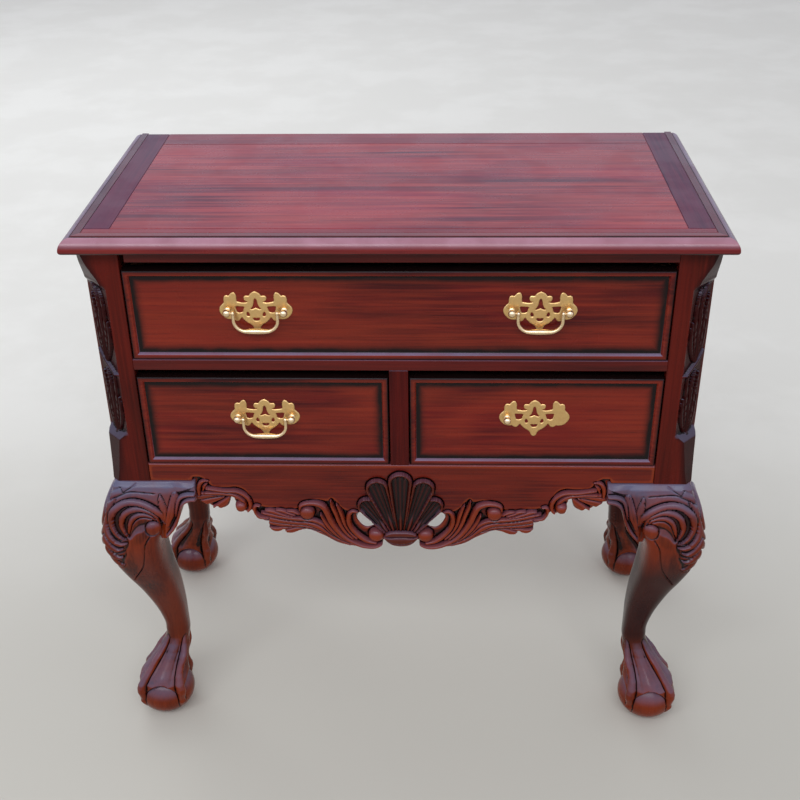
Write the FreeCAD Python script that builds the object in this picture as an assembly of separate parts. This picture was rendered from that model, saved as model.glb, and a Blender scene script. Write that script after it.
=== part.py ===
import FreeCAD, Part
import math
import os

# Lowboy: a small chest of one wide drawer over two narrow ones, on cabriole legs with
# ball-and-claw feet, under a framed and moulded top. Millimetres, +Z up, front towards -Y.
# The origin is on the floor, under the middle of the case.

# --- case ---------------------------------------------------------------------
CASE_WIDTH = 844.0
CASE_DEPTH = 404.0
LEG_HEIGHT = 463.0
POST_WIDTH = 56.0
FRONT_POST_DEPTH = 50.0
REAR_POST_WIDTH = 45.0
REAR_POST_DEPTH = 45.0
POST_CANT = 27.0
CARVING_BOTTOM = 76.0
CARVING_HEIGHT = 240.0
CARVING_SINK = 4.0
LEAF_COUNT = 2
LEAF_RISE = 3.0
LEAF_GAP = 5.0
SIDE_THICKNESS = 16.0
SIDE_INSET = 3.0
SIDE_DROP = 30.0
BACK_THICKNESS = 10.0
BACK_INSET = 3.0

# --- rails, divider and runners ---------------------------------------------------
TOP_RAIL_HEIGHT = 21.0
TOP_RAIL_SLOT = 8.0
MIDDLE_RAIL_HEIGHT = 16.0
RAIL_DEPTH = 40.0
DIVIDER_WIDTH = 26.4
REAR_RAIL_HEIGHT = 40.0
REAR_RAIL_THICKNESS = 20.0
RUNNER_THICKNESS = 16.0
RUNNER_BEARING = 24.0
GUIDE_HEIGHT = 14.0
CORNER_BLOCK = 30.0

# --- top ------------------------------------------------------------------------
TOP_THICKNESS = 21.0
TOP_SIDE_OVERHANG = 13.0
TOP_FRONT_OVERHANG = 25.4
TOP_BACK_OVERHANG = 5.0
MOULDING_WIDTH = 25.0
OVOLO_WIDTH = 14.0
OVOLO_STEP = 1.6
MOULDING_FOOT = 3.5
MOULDING_TAIL = 4.0
TOP_STILE_WIDTH = 35.0
TOP_STRIP_WIDTH = 14.0
TOP_RAIL_WIDTH = 52.0
BOARD_EASING = 0.9

# --- drawers ----------------------------------------------------------------------
UPPER_OPENING_HEIGHT = 145.0
LOWER_OPENING_HEIGHT = 156.0
DRAWER_SIDE_GAP = 1.5
DRAWER_BOTTOM_GAP = 0.5
DRAWER_TOP_GAP = 12.0
FRONT_THICKNESS = 20.0
LIP_WIDTH = 7.5
LIP_BEVEL = 4.5
FIELD_SINK = 4.5
DRAWER_BOX_INSET = 2.0
DRAWER_BOARD = 12.0
DRAWER_BOTTOM_THICKNESS = 5.0
DRAWER_BOTTOM_RISE = 9.0
DRAWER_GROOVE = 5.0
DRAWER_SIDE_DROP = 8.0
DRAWER_REAR_GAP = 4.0

# --- handles ----------------------------------------------------------------------
HANDLE_BORING = 76.2
HANDLE_RISE = 8.0
HANDLE_SIDE_OFFSET = 190.0
PLATE_THICKNESS = 1.8
POST_STANDOFF = 9.2
POST_HEAD_RADIUS = 4.8
POST_NECK_RADIUS = 2.8
POST_COLLAR_RADIUS = 4.4
POST_COLLAR_HEIGHT = 1.6
STUD_RADIUS = 2.0
NUT_RADIUS = 4.6
NUT_THICKNESS = 3.2
BAIL_PIN_RADIUS = 1.5
BAIL_PIN_CLEARANCE = 0.06
BAIL_PIN_ENGAGEMENT = 5.2
BAIL_PIN_END_GAP = 0.6
BAIL_ARM_INSET = 8.4
BAIL_ARM_RADIUS = 1.9
BAIL_KNOB_RADIUS = 2.6
BAIL_DROP = 27.0
BAIL_BEND_RADIUS = 16.0
BAIL_GRIP_RADIUS = 3.3
BAIL_GRIP_LENGTH = 38.0

# --- legs and feet ------------------------------------------------------------------
LEG_BLOCK = 98.0
FOOT_INSET_FRONT = 22.0
FOOT_INSET_REAR = 6.0
FOOT_INSET_DEPTH = 21.0
BALL_RADIUS = 44.0
BALL_FLAT = 8.0
CLAW_REACH = 49.0
CLAW_RADIUS = 9.5
LIMB_SIDES = 6
ANKLE_HEIGHT = 141.0
ANKLE_INSET = 48.0
HOOD_RADIUS = 40.0
ROUND_CANT = 0.58
KNEE_BLOCK_WIDTH = 23.0
KNEE_BLOCK_DEPTH = 27.0
KNEE_BLOCK_HEIGHT = 94.0
KNEE_BLOCK_LIP = 25.38
KNEE_BLOCK_PROUD = 4.0

# --- apron --------------------------------------------------------------------------
APRON_THICKNESS = 20.0
APRON_RISE = 30.0
APRON_DROP = 119.0
PATTERN_HALF = 301.0
MIDDLE_FIELD = 88.0
BRACKET_START = 214.0
SHELL_HEIGHT = 9.0
SHELL_HINGE = 26.0
SHELL_ROOT = 23.0
SHELL_RIM = 3.0
SHELL_CUSP = 0.87
FLUTE_START = 14.0
FLUTE_DEPTH = 6.0

# --- places worked out from the sizes above -------------------------------------------
CUT_PAST = 1.0  # how far a cutting shape runs past the face it cuts
FRONT = -CASE_DEPTH / 2
BACK = CASE_DEPTH / 2
OPENING_HALF = CASE_WIDTH / 2 - POST_WIDTH
APRON_TOP = LEG_HEIGHT + APRON_RISE
MIDDLE_RAIL_BOTTOM = APRON_TOP + LOWER_OPENING_HEIGHT
UPPER_FLOOR = MIDDLE_RAIL_BOTTOM + MIDDLE_RAIL_HEIGHT
CASE_TOP = UPPER_FLOOR + UPPER_OPENING_HEIGHT + TOP_RAIL_HEIGHT
CASE_HEIGHT = CASE_TOP - LEG_HEIGHT
BACK_PANEL_FRONT = BACK - BACK_INSET - BACK_THICKNESS
REAR_RAIL_FRONT = BACK_PANEL_FRONT - REAR_RAIL_THICKNESS
DRAWER_BACK = REAR_RAIL_FRONT - DRAWER_REAR_GAP
LEG_INNER = CASE_WIDTH / 2 - LEG_BLOCK
APRON_END = LEG_INNER - KNEE_BLOCK_WIDTH
FRONT_POST_BACK = FRONT + FRONT_POST_DEPTH
REAR_POST_FRONT = BACK - REAR_POST_DEPTH
FIELD_FACE = FRONT + FIELD_SINK
BAIL_AXIS = FIELD_FACE - PLATE_THICKNESS - POST_STANDOFF
UP = FreeCAD.Vector(0, 0, 1)


def vec(x, y, z):
    return FreeCAD.Vector(x, y, z)


def box(x0, x1, y0, y1, z0, z1):
    """Box between two corners given as ranges."""
    return Part.makeBox(x1 - x0, y1 - y0, z1 - z0, vec(x0, y0, z0))


def mirrored(shape):
    """The same shape on the other side of the middle plane."""
    return shape.mirror(vec(0, 0, 0), vec(1, 0, 0))


def polygon_prism(points, travel):
    """Prism on a closed polygon."""
    return Part.Face(Part.makePolygon(points + points[:1])).extrude(travel)


def arc_chain(points):
    """Edges through p0-p1-p2, p2-p3-p4 and so on, each an arc by its middle point."""
    edges = []
    for i in range(0, len(points) - 2, 2):
        start, middle, end = points[i:i + 3]
        off_line = (middle - start).cross(end - start).Length
        if off_line < 1e-3 * (end - start).Length:
            edges.append(Part.LineSegment(start, end).toShape())
        else:
            edges.append(Part.Arc(start, middle, end).toShape())
    return edges


def fused(shapes):
    """One solid out of overlapping ones."""
    result = shapes[0]
    for shape in shapes[1:]:
        result = result.fuse(shape)
    return result.removeSplitter()


def front_points(pairs, y):
    """Points on a plane parallel to the front, from (x, z) pairs."""
    return [vec(x, y, z) for x, z in pairs]


def reflected(points):
    """Points on the other side of the middle plane, in reverse order."""
    return [vec(-p.x, p.y, p.z) for p in reversed(points)]


# --- top ------------------------------------------------------------------------------
TOP_HALF = CASE_WIDTH / 2 + TOP_SIDE_OVERHANG
TOP_FRONT = FRONT - TOP_FRONT_OVERHANG
TOP_BACK = BACK + TOP_BACK_OVERHANG
BOARDS_HALF = TOP_HALF - MOULDING_WIDTH
BOARDS_FRONT = TOP_FRONT + MOULDING_WIDTH
FIELD_HALF = BOARDS_HALF - TOP_STILE_WIDTH
FIELD_FRONT = BOARDS_FRONT + TOP_STRIP_WIDTH
FIELD_BACK = TOP_BACK - TOP_RAIL_WIDTH


def moulding_profile(place):
    """Closed section of the top moulding; place turns (outward, height) into a point."""
    shoulder = MOULDING_WIDTH - OVOLO_WIDTH
    eye = TOP_THICKNESS - OVOLO_STEP
    bulge_out = shoulder + 1.0 + (OVOLO_WIDTH - 1.0) * math.sin(math.radians(45))
    bulge_up = MOULDING_FOOT + (eye - MOULDING_FOOT) * math.cos(math.radians(45))
    foot_edge = MOULDING_WIDTH - 2.0
    corner = place(0, 0)
    edges = [
        Part.LineSegment(corner, place(0, TOP_THICKNESS)).toShape(),
        Part.LineSegment(place(0, TOP_THICKNESS), place(shoulder, TOP_THICKNESS)).toShape(),
        Part.LineSegment(place(shoulder, TOP_THICKNESS), place(shoulder + 1.0, eye)).toShape(),
        Part.Arc(place(shoulder + 1.0, eye), place(bulge_out, bulge_up),
                 place(MOULDING_WIDTH, MOULDING_FOOT)).toShape(),
        Part.LineSegment(place(MOULDING_WIDTH, MOULDING_FOOT), place(foot_edge, 0)).toShape(),
        Part.LineSegment(place(foot_edge, 0), corner).toShape(),
    ]
    return Part.Face(Part.Wire(edges))


def mitre_prism(points):
    """Upright prism that cuts a moulding to its mitred plan."""
    flat = [vec(x, y, CASE_TOP - 1) for x, y in points]
    return polygon_prism(flat, UP * (TOP_THICKNESS + 2))


def top_mouldings():
    front_bar = moulding_profile(lambda out, up: vec(-TOP_HALF, BOARDS_FRONT - out, CASE_TOP + up))
    front_bar = front_bar.extrude(vec(2 * TOP_HALF, 0, 0))
    front_plan = [(-TOP_HALF, TOP_FRONT), (TOP_HALF, TOP_FRONT),
                  (BOARDS_HALF, BOARDS_FRONT), (-BOARDS_HALF, BOARDS_FRONT)]
    side_bar = moulding_profile(lambda out, up: vec(BOARDS_HALF + out, TOP_FRONT, CASE_TOP + up))
    side_length = TOP_BACK + MOULDING_TAIL - TOP_FRONT
    side_bar = side_bar.extrude(vec(0, side_length, 0))
    side_plan = [(TOP_HALF, TOP_FRONT), (TOP_HALF, TOP_FRONT + side_length),
                 (BOARDS_HALF, TOP_FRONT + side_length), (BOARDS_HALF, BOARDS_FRONT)]
    right = side_bar.common(mitre_prism(side_plan))
    return {
        "moulding_front": front_bar.common(mitre_prism(front_plan)),
        "moulding_right": right,
        "moulding_left": mirrored(right),
    }


def eased_board(x0, x1, y0, y1):
    """Board of the top with its upper edges eased, which leaves a fine groove at each joint."""
    board = box(x0, x1, y0, y1, CASE_TOP, CASE_TOP + TOP_THICKNESS)
    upper = [e for e in board.Edges if e.BoundBox.ZMin > CASE_TOP + TOP_THICKNESS - 0.01]
    return board.makeChamfer(BOARD_EASING, upper)


def top_boards():
    stile = eased_board(FIELD_HALF, BOARDS_HALF, FIELD_FRONT, TOP_BACK)
    return {
        "top_front_strip": eased_board(-BOARDS_HALF, BOARDS_HALF, BOARDS_FRONT, FIELD_FRONT),
        "top_stile_right": stile,
        "top_stile_left": mirrored(stile),
        "top_back_rail": eased_board(-FIELD_HALF, FIELD_HALF, FIELD_BACK, TOP_BACK),
        "top_field": eased_board(-FIELD_HALF, FIELD_HALF, FIELD_FRONT, FIELD_BACK),
    }


# --- case -------------------------------------------------------------------------------
def carved_leaves(outward, base, length, width):
    """Pointed leaves, one above the other, raised from the sunk part of a canted corner."""
    across = outward.cross(UP)
    leaf_length = length / LEAF_COUNT - LEAF_GAP
    leaves = []
    for i in range(LEAF_COUNT):
        foot = base + UP * (length / LEAF_COUNT * i + LEAF_GAP / 2) - outward * CUT_PAST
        tip = foot + UP * leaf_length
        edges = arc_chain([foot, (foot + tip) * 0.5 + across * (width / 2), tip,
                           (foot + tip) * 0.5 - across * (width / 2), foot])
        leaves.append(Part.Face(Part.Wire(edges)).extrude(outward * (LEAF_RISE + CUT_PAST)))
    return leaves


def front_post():
    """Right front post: outer corner canted, and sunk further where the leaves are carved."""
    side = CASE_WIDTH / 2
    post = box(OPENING_HALF, side, FRONT, FRONT_POST_BACK, LEG_HEIGHT, CASE_TOP)
    outward = vec(1, -1, 0).normalize()
    past = CUT_PAST
    cant_plan = ((side - POST_CANT, FRONT - past), (side + past, FRONT - past), (side + past, FRONT + POST_CANT),
                 (side, FRONT + POST_CANT), (side - POST_CANT, FRONT))
    cant = polygon_prism([vec(x, y, LEG_HEIGHT - past) for x, y in cant_plan], UP * (CASE_HEIGHT + 2 * past))
    face_middle = vec(side - POST_CANT / 2, FRONT + POST_CANT / 2, LEG_HEIGHT + CARVING_BOTTOM)
    across = vec(1, 1, 0).normalize()
    reach = POST_CANT
    low = face_middle - outward * CARVING_SINK
    end_slope = 2 * CARVING_SINK
    outline = [face_middle, low + UP * end_slope, low + UP * (CARVING_HEIGHT - end_slope),
               face_middle + UP * CARVING_HEIGHT, face_middle + UP * CARVING_HEIGHT + outward * reach,
               face_middle + outward * reach]
    sink = polygon_prism([p - across * 2 * reach for p in outline], across * (4 * reach))
    post = post.cut(cant).cut(sink)
    leaf_length = CARVING_HEIGHT - 2 * end_slope
    return fused([post] + carved_leaves(outward, low + UP * end_slope, leaf_length, POST_CANT))


def side_panel():
    """Right side board; its lower edge dips between the legs."""
    outer = CASE_WIDTH / 2 - SIDE_INSET
    leg_gap_front = FRONT + LEG_BLOCK + KNEE_BLOCK_WIDTH
    leg_gap_back = BACK - LEG_BLOCK - KNEE_BLOCK_WIDTH
    middle = (leg_gap_front + leg_gap_back) / 2
    quarter = (leg_gap_back - leg_gap_front) / 4
    low = LEG_HEIGHT - SIDE_DROP
    corners = [(FRONT_POST_BACK, LEG_HEIGHT), (FRONT_POST_BACK, CASE_TOP),
               (REAR_POST_FRONT, CASE_TOP), (REAR_POST_FRONT, LEG_HEIGHT), (leg_gap_back, LEG_HEIGHT)]
    straight = [vec(outer, y, z) for y, z in corners]
    dip = [(leg_gap_back, LEG_HEIGHT), (leg_gap_back - quarter * 0.3, LEG_HEIGHT - SIDE_DROP * 0.75),
           (middle + quarter, low), (middle, low + SIDE_DROP * 0.25), (middle - quarter, low),
           (leg_gap_front + quarter * 0.3, LEG_HEIGHT - SIDE_DROP * 0.75), (leg_gap_front, LEG_HEIGHT)]
    edges = [Part.LineSegment(a, b).toShape() for a, b in zip(straight, straight[1:])]
    edges += arc_chain([vec(outer, y, z) for y, z in dip])
    edges.append(Part.LineSegment(vec(outer, leg_gap_front, LEG_HEIGHT), straight[0]).toShape())
    return Part.Face(Part.Wire(edges)).extrude(vec(-SIDE_THICKNESS, 0, 0))


def drawer_runner(top, front_end, rear_end):
    """Right-hand runner with the strip that guides the drawer's side."""
    bearing_edge = OPENING_HALF - RUNNER_BEARING - DRAWER_BOX_INSET
    wall = CASE_WIDTH / 2 - SIDE_INSET - SIDE_THICKNESS
    bottom = top - RUNNER_THICKNESS
    between_posts = box(bearing_edge, wall, FRONT_POST_BACK, REAR_POST_FRONT, bottom, top)
    bearing = box(bearing_edge, OPENING_HALF, front_end, rear_end, bottom, top)
    guide = box(OPENING_HALF, wall, FRONT_POST_BACK, REAR_POST_FRONT, bottom, top + GUIDE_HEIGHT)
    return fused([between_posts, bearing, guide])


def corner_blocks():
    """The four glue blocks that tie the legs to the case."""
    bottom = LEG_HEIGHT
    top = APRON_TOP - RUNNER_THICKNESS
    front_y = FRONT + APRON_THICKNESS
    rear_x = CASE_WIDTH / 2 - REAR_POST_WIDTH
    front_block = box(OPENING_HALF - CORNER_BLOCK, OPENING_HALF, front_y, front_y + CORNER_BLOCK, bottom, top)
    rear_block = box(rear_x - CORNER_BLOCK, rear_x, REAR_RAIL_FRONT - CORNER_BLOCK, REAR_RAIL_FRONT, bottom, top)
    return Part.makeCompound([front_block, mirrored(front_block), rear_block, mirrored(rear_block)])


def case_parts():
    side = CASE_WIDTH / 2
    post = front_post()
    rear_post = box(side - REAR_POST_WIDTH, side, REAR_POST_FRONT, BACK, LEG_HEIGHT, CASE_TOP)
    panel = side_panel()
    rail_bottom = CASE_TOP - TOP_RAIL_HEIGHT
    rear_half = side - REAR_POST_WIDTH
    upper = drawer_runner(UPPER_FLOOR, FRONT + RAIL_DEPTH, BACK_PANEL_FRONT)
    lower = drawer_runner(APRON_TOP, FRONT + APRON_THICKNESS, REAR_RAIL_FRONT)
    centre_half = DIVIDER_WIDTH / 2 + DRAWER_SIDE_GAP + RUNNER_BEARING / 2
    centre = fused([
        box(-centre_half, centre_half, FRONT + APRON_THICKNESS, REAR_RAIL_FRONT,
            APRON_TOP - RUNNER_THICKNESS, APRON_TOP),
        box(-DIVIDER_WIDTH / 2, DIVIDER_WIDTH / 2, FRONT + RAIL_DEPTH, REAR_RAIL_FRONT,
            APRON_TOP - RUNNER_THICKNESS, APRON_TOP + GUIDE_HEIGHT),
    ])
    return {
        "post_front_right": post,
        "post_front_left": mirrored(post),
        "post_rear_right": rear_post,
        "post_rear_left": mirrored(rear_post),
        "side_panel_right": panel,
        "side_panel_left": mirrored(panel),
        "back_panel": box(-rear_half, rear_half, BACK_PANEL_FRONT, BACK - BACK_INSET, LEG_HEIGHT, CASE_TOP),
        "rear_bottom_rail": box(-rear_half, rear_half, REAR_RAIL_FRONT, BACK_PANEL_FRONT,
                                LEG_HEIGHT, LEG_HEIGHT + REAR_RAIL_HEIGHT),
        "top_rail": box(-OPENING_HALF + TOP_RAIL_SLOT, OPENING_HALF, FRONT, FRONT + RAIL_DEPTH,
                        rail_bottom, CASE_TOP),
        "middle_rail": box(-OPENING_HALF, OPENING_HALF, FRONT, FRONT + RAIL_DEPTH,
                           MIDDLE_RAIL_BOTTOM, UPPER_FLOOR),
        "drawer_divider": box(-DIVIDER_WIDTH / 2, DIVIDER_WIDTH / 2, FRONT, FRONT + RAIL_DEPTH,
                              APRON_TOP, MIDDLE_RAIL_BOTTOM),
        "upper_runner_right": upper,
        "upper_runner_left": mirrored(upper),
        "lower_runner_right": lower,
        "lower_runner_left": mirrored(lower),
        "lower_runner_centre": centre,
        "corner_blocks": corner_blocks(),
    }


# --- legs -----------------------------------------------------------------------------------
def canted_square(centre, half, cant):
    """Closed wire of a square with its corners cut off, level with the floor."""
    near = half - cant
    points = []
    for sx, sy in ((1, 1), (-1, 1), (-1, -1), (1, -1)):
        pair = [centre + vec(sx * half, sy * near, 0), centre + vec(sx * near, sy * half, 0)]
        points += pair if sx * sy > 0 else reversed(pair)
    return Part.makePolygon(points + points[:1])


# Cabriole outline from the case down to the ankle: height as a share of that length, then the
# section's middle (in from the post's outer faces) and half width as shares of the block at the
# top, then the cut of the corners as a share of the half width.
CABRIOLE_STATIONS = (
    (1.0, 0.5, 0.5, 0.3),
    (0.957, 0.468, 0.491, 0.32),
    (0.863, 0.357, 0.52, 0.34),
    (0.764, 0.237, 0.487, 0.34),
    (0.683, 0.166, 0.446, 0.34),
    (0.578, 0.189, 0.403, 0.36),
    (0.453, 0.27, 0.352, 0.38),
    (0.329, 0.367, 0.296, 0.42),
    (0.186, 0.449, 0.235, 0.5),
    (0.068, 0.488, 0.19, 0.55),
)
# Hood of the foot from the ankle down: how far the section stays back from the foot towards the
# ankle, height as a share of the ankle's height, and half width as a share of the hood's.
HOOD_STATIONS = (
    (1.0, 1.0, 0.46),
    (0.9, 0.87, 0.48),
    (0.65, 0.75, 0.56),
    (0.35, 0.63, 0.72),
    (0.1, 0.53, 0.9),
    (0.0, 0.46, 1.0),
)
# Claw from ankle to nail: the same share towards the ankle, reach, height as a share of the
# ankle's height, and thickness.
CLAW_STATIONS = (
    (0.85, 0.24, 0.91, 0.55),
    (0.55, 0.4, 0.75, 0.75),
    (0.25, 0.68, 0.6, 0.9),
    (0.05, 0.91, 0.475, 1.05),
    (0.0, 1.0, 0.355, 1.15),
    (0.0, 0.97, 0.23, 0.95),
    (0.0, 0.86, 0.1, 0.6),
)


def tapered_limb(points, radii, side):
    """Six-sided limb that passes through the points with the given radii; side is level, across it."""
    rings = []
    for i, (point, radius) in enumerate(zip(points, radii)):
        along = points[min(i + 1, len(points) - 1)] - points[max(i - 1, 0)]
        outward = along.cross(side).normalize()
        corners = []
        for k in range(LIMB_SIDES):
            turn = 2 * math.pi * k / LIMB_SIDES
            corners.append(point + outward * (radius * math.cos(turn)) + side * (radius * math.sin(turn)))
        rings.append(Part.makePolygon(corners + corners[:1]))
    return Part.makeLoft(rings, True, False)


def claw(foot, ankle, angle):
    """One claw: out of the ankle, over the ball and in to its nail."""
    heading = vec(math.cos(angle), math.sin(angle), 0)
    points = []
    for set_back, reach, height, _ in CLAW_STATIONS:
        axis_point = foot + (ankle - foot) * set_back
        points.append(axis_point + heading * (CLAW_REACH * reach) + UP * (ANKLE_HEIGHT * height))
    radii = [CLAW_RADIUS * size for _, _, _, size in CLAW_STATIONS]
    return tapered_limb(points, radii, heading.cross(UP))


def cabriole_leg(foot_inset):
    """Leg under the post at +X -Y, its foot that far inside the side of the case."""
    corner = vec(CASE_WIDTH / 2, FRONT, 0)
    inward = vec(-1, 1, 0)
    foot = corner + vec(-foot_inset, FOOT_INSET_DEPTH, 0)
    lean = vec(FOOT_INSET_FRONT - foot_inset, 0, 0)
    length = LEG_HEIGHT - ANKLE_HEIGHT
    sections = []
    for rise, middle, half_width, cut in CABRIOLE_STATIONS:
        half = LEG_BLOCK * half_width
        height = ANKLE_HEIGHT + length * rise
        centre = corner + inward * (LEG_BLOCK * middle) + lean * (1 - rise) + UP * height
        sections.append(canted_square(centre, half, half * cut))
    ankle = corner + inward * ANKLE_INSET + lean
    for share, height, half_width in HOOD_STATIONS:
        half = HOOD_RADIUS * half_width
        centre = foot + (ankle - foot) * share + UP * (ANKLE_HEIGHT * height)
        sections.append(canted_square(centre, half, half * ROUND_CANT))
    shaft = Part.makeLoft(sections, True, False)
    ball = Part.makeSphere(BALL_RADIUS, foot + UP * (BALL_RADIUS - BALL_FLAT))
    claws = [claw(foot, ankle, math.radians(45 + 90 * i)) for i in range(4)]
    leg = fused([shaft, ball] + claws)
    space = box(corner.x - CASE_WIDTH, corner.x + CASE_WIDTH, corner.y - CASE_DEPTH, corner.y + CASE_DEPTH,
                0, LEG_HEIGHT)
    return leg.common(space)


def back_to_front(shape):
    return shape.mirror(vec(0, 0, 0), vec(0, 1, 0))


# Outline of a knee block from its top corner at the apron down and round: (distance outwards from
# the apron's end, height below the leg tops), in arcs that meet at every second point.
KNEE_BLOCK_EDGE = (
    (0.0, 0.0), (0.0, KNEE_BLOCK_LIP - 12.0), (0.0, KNEE_BLOCK_LIP),
    (KNEE_BLOCK_WIDTH * 0.55, KNEE_BLOCK_LIP + 3.0), (KNEE_BLOCK_WIDTH, KNEE_BLOCK_LIP + 12.0),
    (KNEE_BLOCK_WIDTH * 1.15, KNEE_BLOCK_LIP + 38.0), (KNEE_BLOCK_WIDTH + 30.0, KNEE_BLOCK_HEIGHT),
    (KNEE_BLOCK_WIDTH + 33.0, KNEE_BLOCK_HEIGHT - 12.0), (KNEE_BLOCK_WIDTH + 30.0, 60.0),
    (KNEE_BLOCK_WIDTH + 8.0, 30.0), (KNEE_BLOCK_WIDTH, 0.0),
)


def knee_block():
    """Block between the right front leg and the apron; its lower edge is a double hollow."""
    places = [(APRON_END + out, LEG_HEIGHT - drop) for out, drop in KNEE_BLOCK_EDGE]
    outline = front_points(places, FRONT - KNEE_BLOCK_PROUD)
    edges = arc_chain(outline)
    edges.append(Part.LineSegment(outline[-1], outline[0]).toShape())
    return Part.Face(Part.Wire(edges)).extrude(vec(0, KNEE_BLOCK_DEPTH, 0))


def leg_parts():
    front_leg = cabriole_leg(FOOT_INSET_FRONT)
    rear_leg = back_to_front(cabriole_leg(FOOT_INSET_REAR))
    facing = knee_block()
    swing = facing.copy()
    corner = vec(CASE_WIDTH / 2, FRONT, 0)
    swing = swing.mirror(corner, vec(1, 1, 0))
    front_blocks = Part.makeCompound([facing.cut(front_leg), swing.cut(front_leg)])
    rear_block = back_to_front(swing).cut(rear_leg)
    return {
        "leg_front_right": front_leg,
        "leg_front_left": mirrored(front_leg),
        "leg_rear_right": rear_leg,
        "leg_rear_left": mirrored(rear_leg),
        "knee_blocks_front_right": front_blocks,
        "knee_blocks_front_left": mirrored(front_blocks),
        "knee_block_rear_right": rear_block,
        "knee_block_rear_left": mirrored(rear_block),
    }


# --- apron --------------------------------------------------------------------------------------
# Lower edge of the apron's right half, from the middle outwards: (distance from the middle,
# height below the leg tops), in arcs that meet at every second point.
APRON_EDGE = (
    (0.0, APRON_DROP), (14.0, APRON_DROP - 3.0), (25.0, APRON_DROP - 12.0),
    (36.0, APRON_DROP - 3.5), (50.0, APRON_DROP - 1.0),
    (88.0, APRON_DROP - 6.0), (120.0, APRON_DROP - 26.0),
    (140.0, APRON_DROP - 33.0), (156.0, APRON_DROP - 29.0),
    (165.0, APRON_DROP - 28.0), (173.0, APRON_DROP - 34.0),
    (182.0, APRON_DROP - 31.0), (194.0, APRON_DROP - 40.0),
    (203.0, APRON_DROP - 51.0), (214.0, APRON_DROP - 66.0),
    (217.0, APRON_DROP - 74.0), (219.0, APRON_DROP - 80.0),
    (233.0, APRON_DROP - 64.0), (244.0, APRON_DROP - 82.0),
    (245.5, APRON_DROP - 88.0), (248.0, APRON_DROP - 86.0),
    (262.0, APRON_DROP - 68.0), (271.0, APRON_DROP - 73.0),
    (281.0, APRON_DROP - 70.0), (PATTERN_HALF, APRON_DROP - 86.0),
)
APRON_HOLE = ((64.0, 58.0), (58.0, 53.0), (48.0, 61.0), (39.0, 68.0), (41.0, 76.0), (54.0, 76.0),
              (64.0, 58.0))
# Lobes of the shell from its left end: turn from upright, length from the hinge, half width.
SHELL_LOBES = ((-46.5, 88.0, 12.5), (-22.8, 105.0, 17.0), (0.0, 109.0, 16.5), (22.8, 105.0, 17.0),
               (46.5, 88.0, 12.5))
SCROLL_EYES = ((139.0, 57.0, 9.5), (37.0, 97.0, 9.0), (236.0, 43.0, 8.0))


def spread(x):
    """Place of a point of the pattern: the shell and the end brackets keep their form and the leaf
    between them takes up the apron's width."""
    growth = APRON_END - PATTERN_HALF
    share = (x - MIDDLE_FIELD) / (BRACKET_START - MIDDLE_FIELD)
    return x + growth * min(max(share, 0.0), 1.0)


def apron_points(pairs, y):
    """Points on a plane parallel to the front, from (distance from the middle, drop below the leg tops)."""
    return front_points([(spread(x), LEG_HEIGHT - drop) for x, drop in pairs], y)


def apron_outline(y):
    half = apron_points(APRON_EDGE, y)
    edges = arc_chain(half)
    left = reflected(half)
    edges = arc_chain(left) + edges
    right = [(APRON_END, LEG_HEIGHT), (OPENING_HALF, LEG_HEIGHT), (OPENING_HALF, APRON_TOP)]
    top = front_points(right + [(-x, z) for x, z in reversed(right)], y)
    corners = [half[-1]] + top + [left[0]]
    edges += [Part.LineSegment(a, b).toShape() for a, b in zip(corners, corners[1:])]
    return Part.Wire(edges)


def spoke(turn, distance):
    """Offset from the shell's hinge, in the plane of the front; turn in degrees from upright."""
    angle = math.radians(turn)
    return vec(math.sin(angle) * distance, 0, math.cos(angle) * distance)


def shell_outline(hinge):
    """Lobed edge of the shell, an arc over each lobe, closed round the hinge."""
    turns = [turn for turn, _, _ in SHELL_LOBES]
    reaches = [reach for _, reach, _ in SHELL_LOBES]
    end_turn = turns[-1] + (turns[-1] - turns[-2]) / 2
    rim = [hinge + spoke(-end_turn, reaches[0] * SHELL_CUSP)]
    for i, (turn, reach) in enumerate(zip(turns, reaches)):
        last = i == len(turns) - 1
        cusp_turn = end_turn if last else (turn + turns[i + 1]) / 2
        cusp_reach = reach if last else (reach + reaches[i + 1]) / 2
        rim += [hinge + spoke(turn, reach), hinge + spoke(cusp_turn, cusp_reach * SHELL_CUSP)]
    root = [hinge + vec(SHELL_ROOT, 0, SHELL_ROOT / 4), hinge - UP * SHELL_ROOT,
            hinge + vec(-SHELL_ROOT, 0, SHELL_ROOT / 4)]
    edges = arc_chain(rim) + arc_chain(root)
    edges.append(Part.LineSegment(rim[-1], root[0]).toShape())
    edges.append(Part.LineSegment(root[-1], rim[0]).toShape())
    return Part.Wire(Part.sortEdges(edges)[0])


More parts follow.
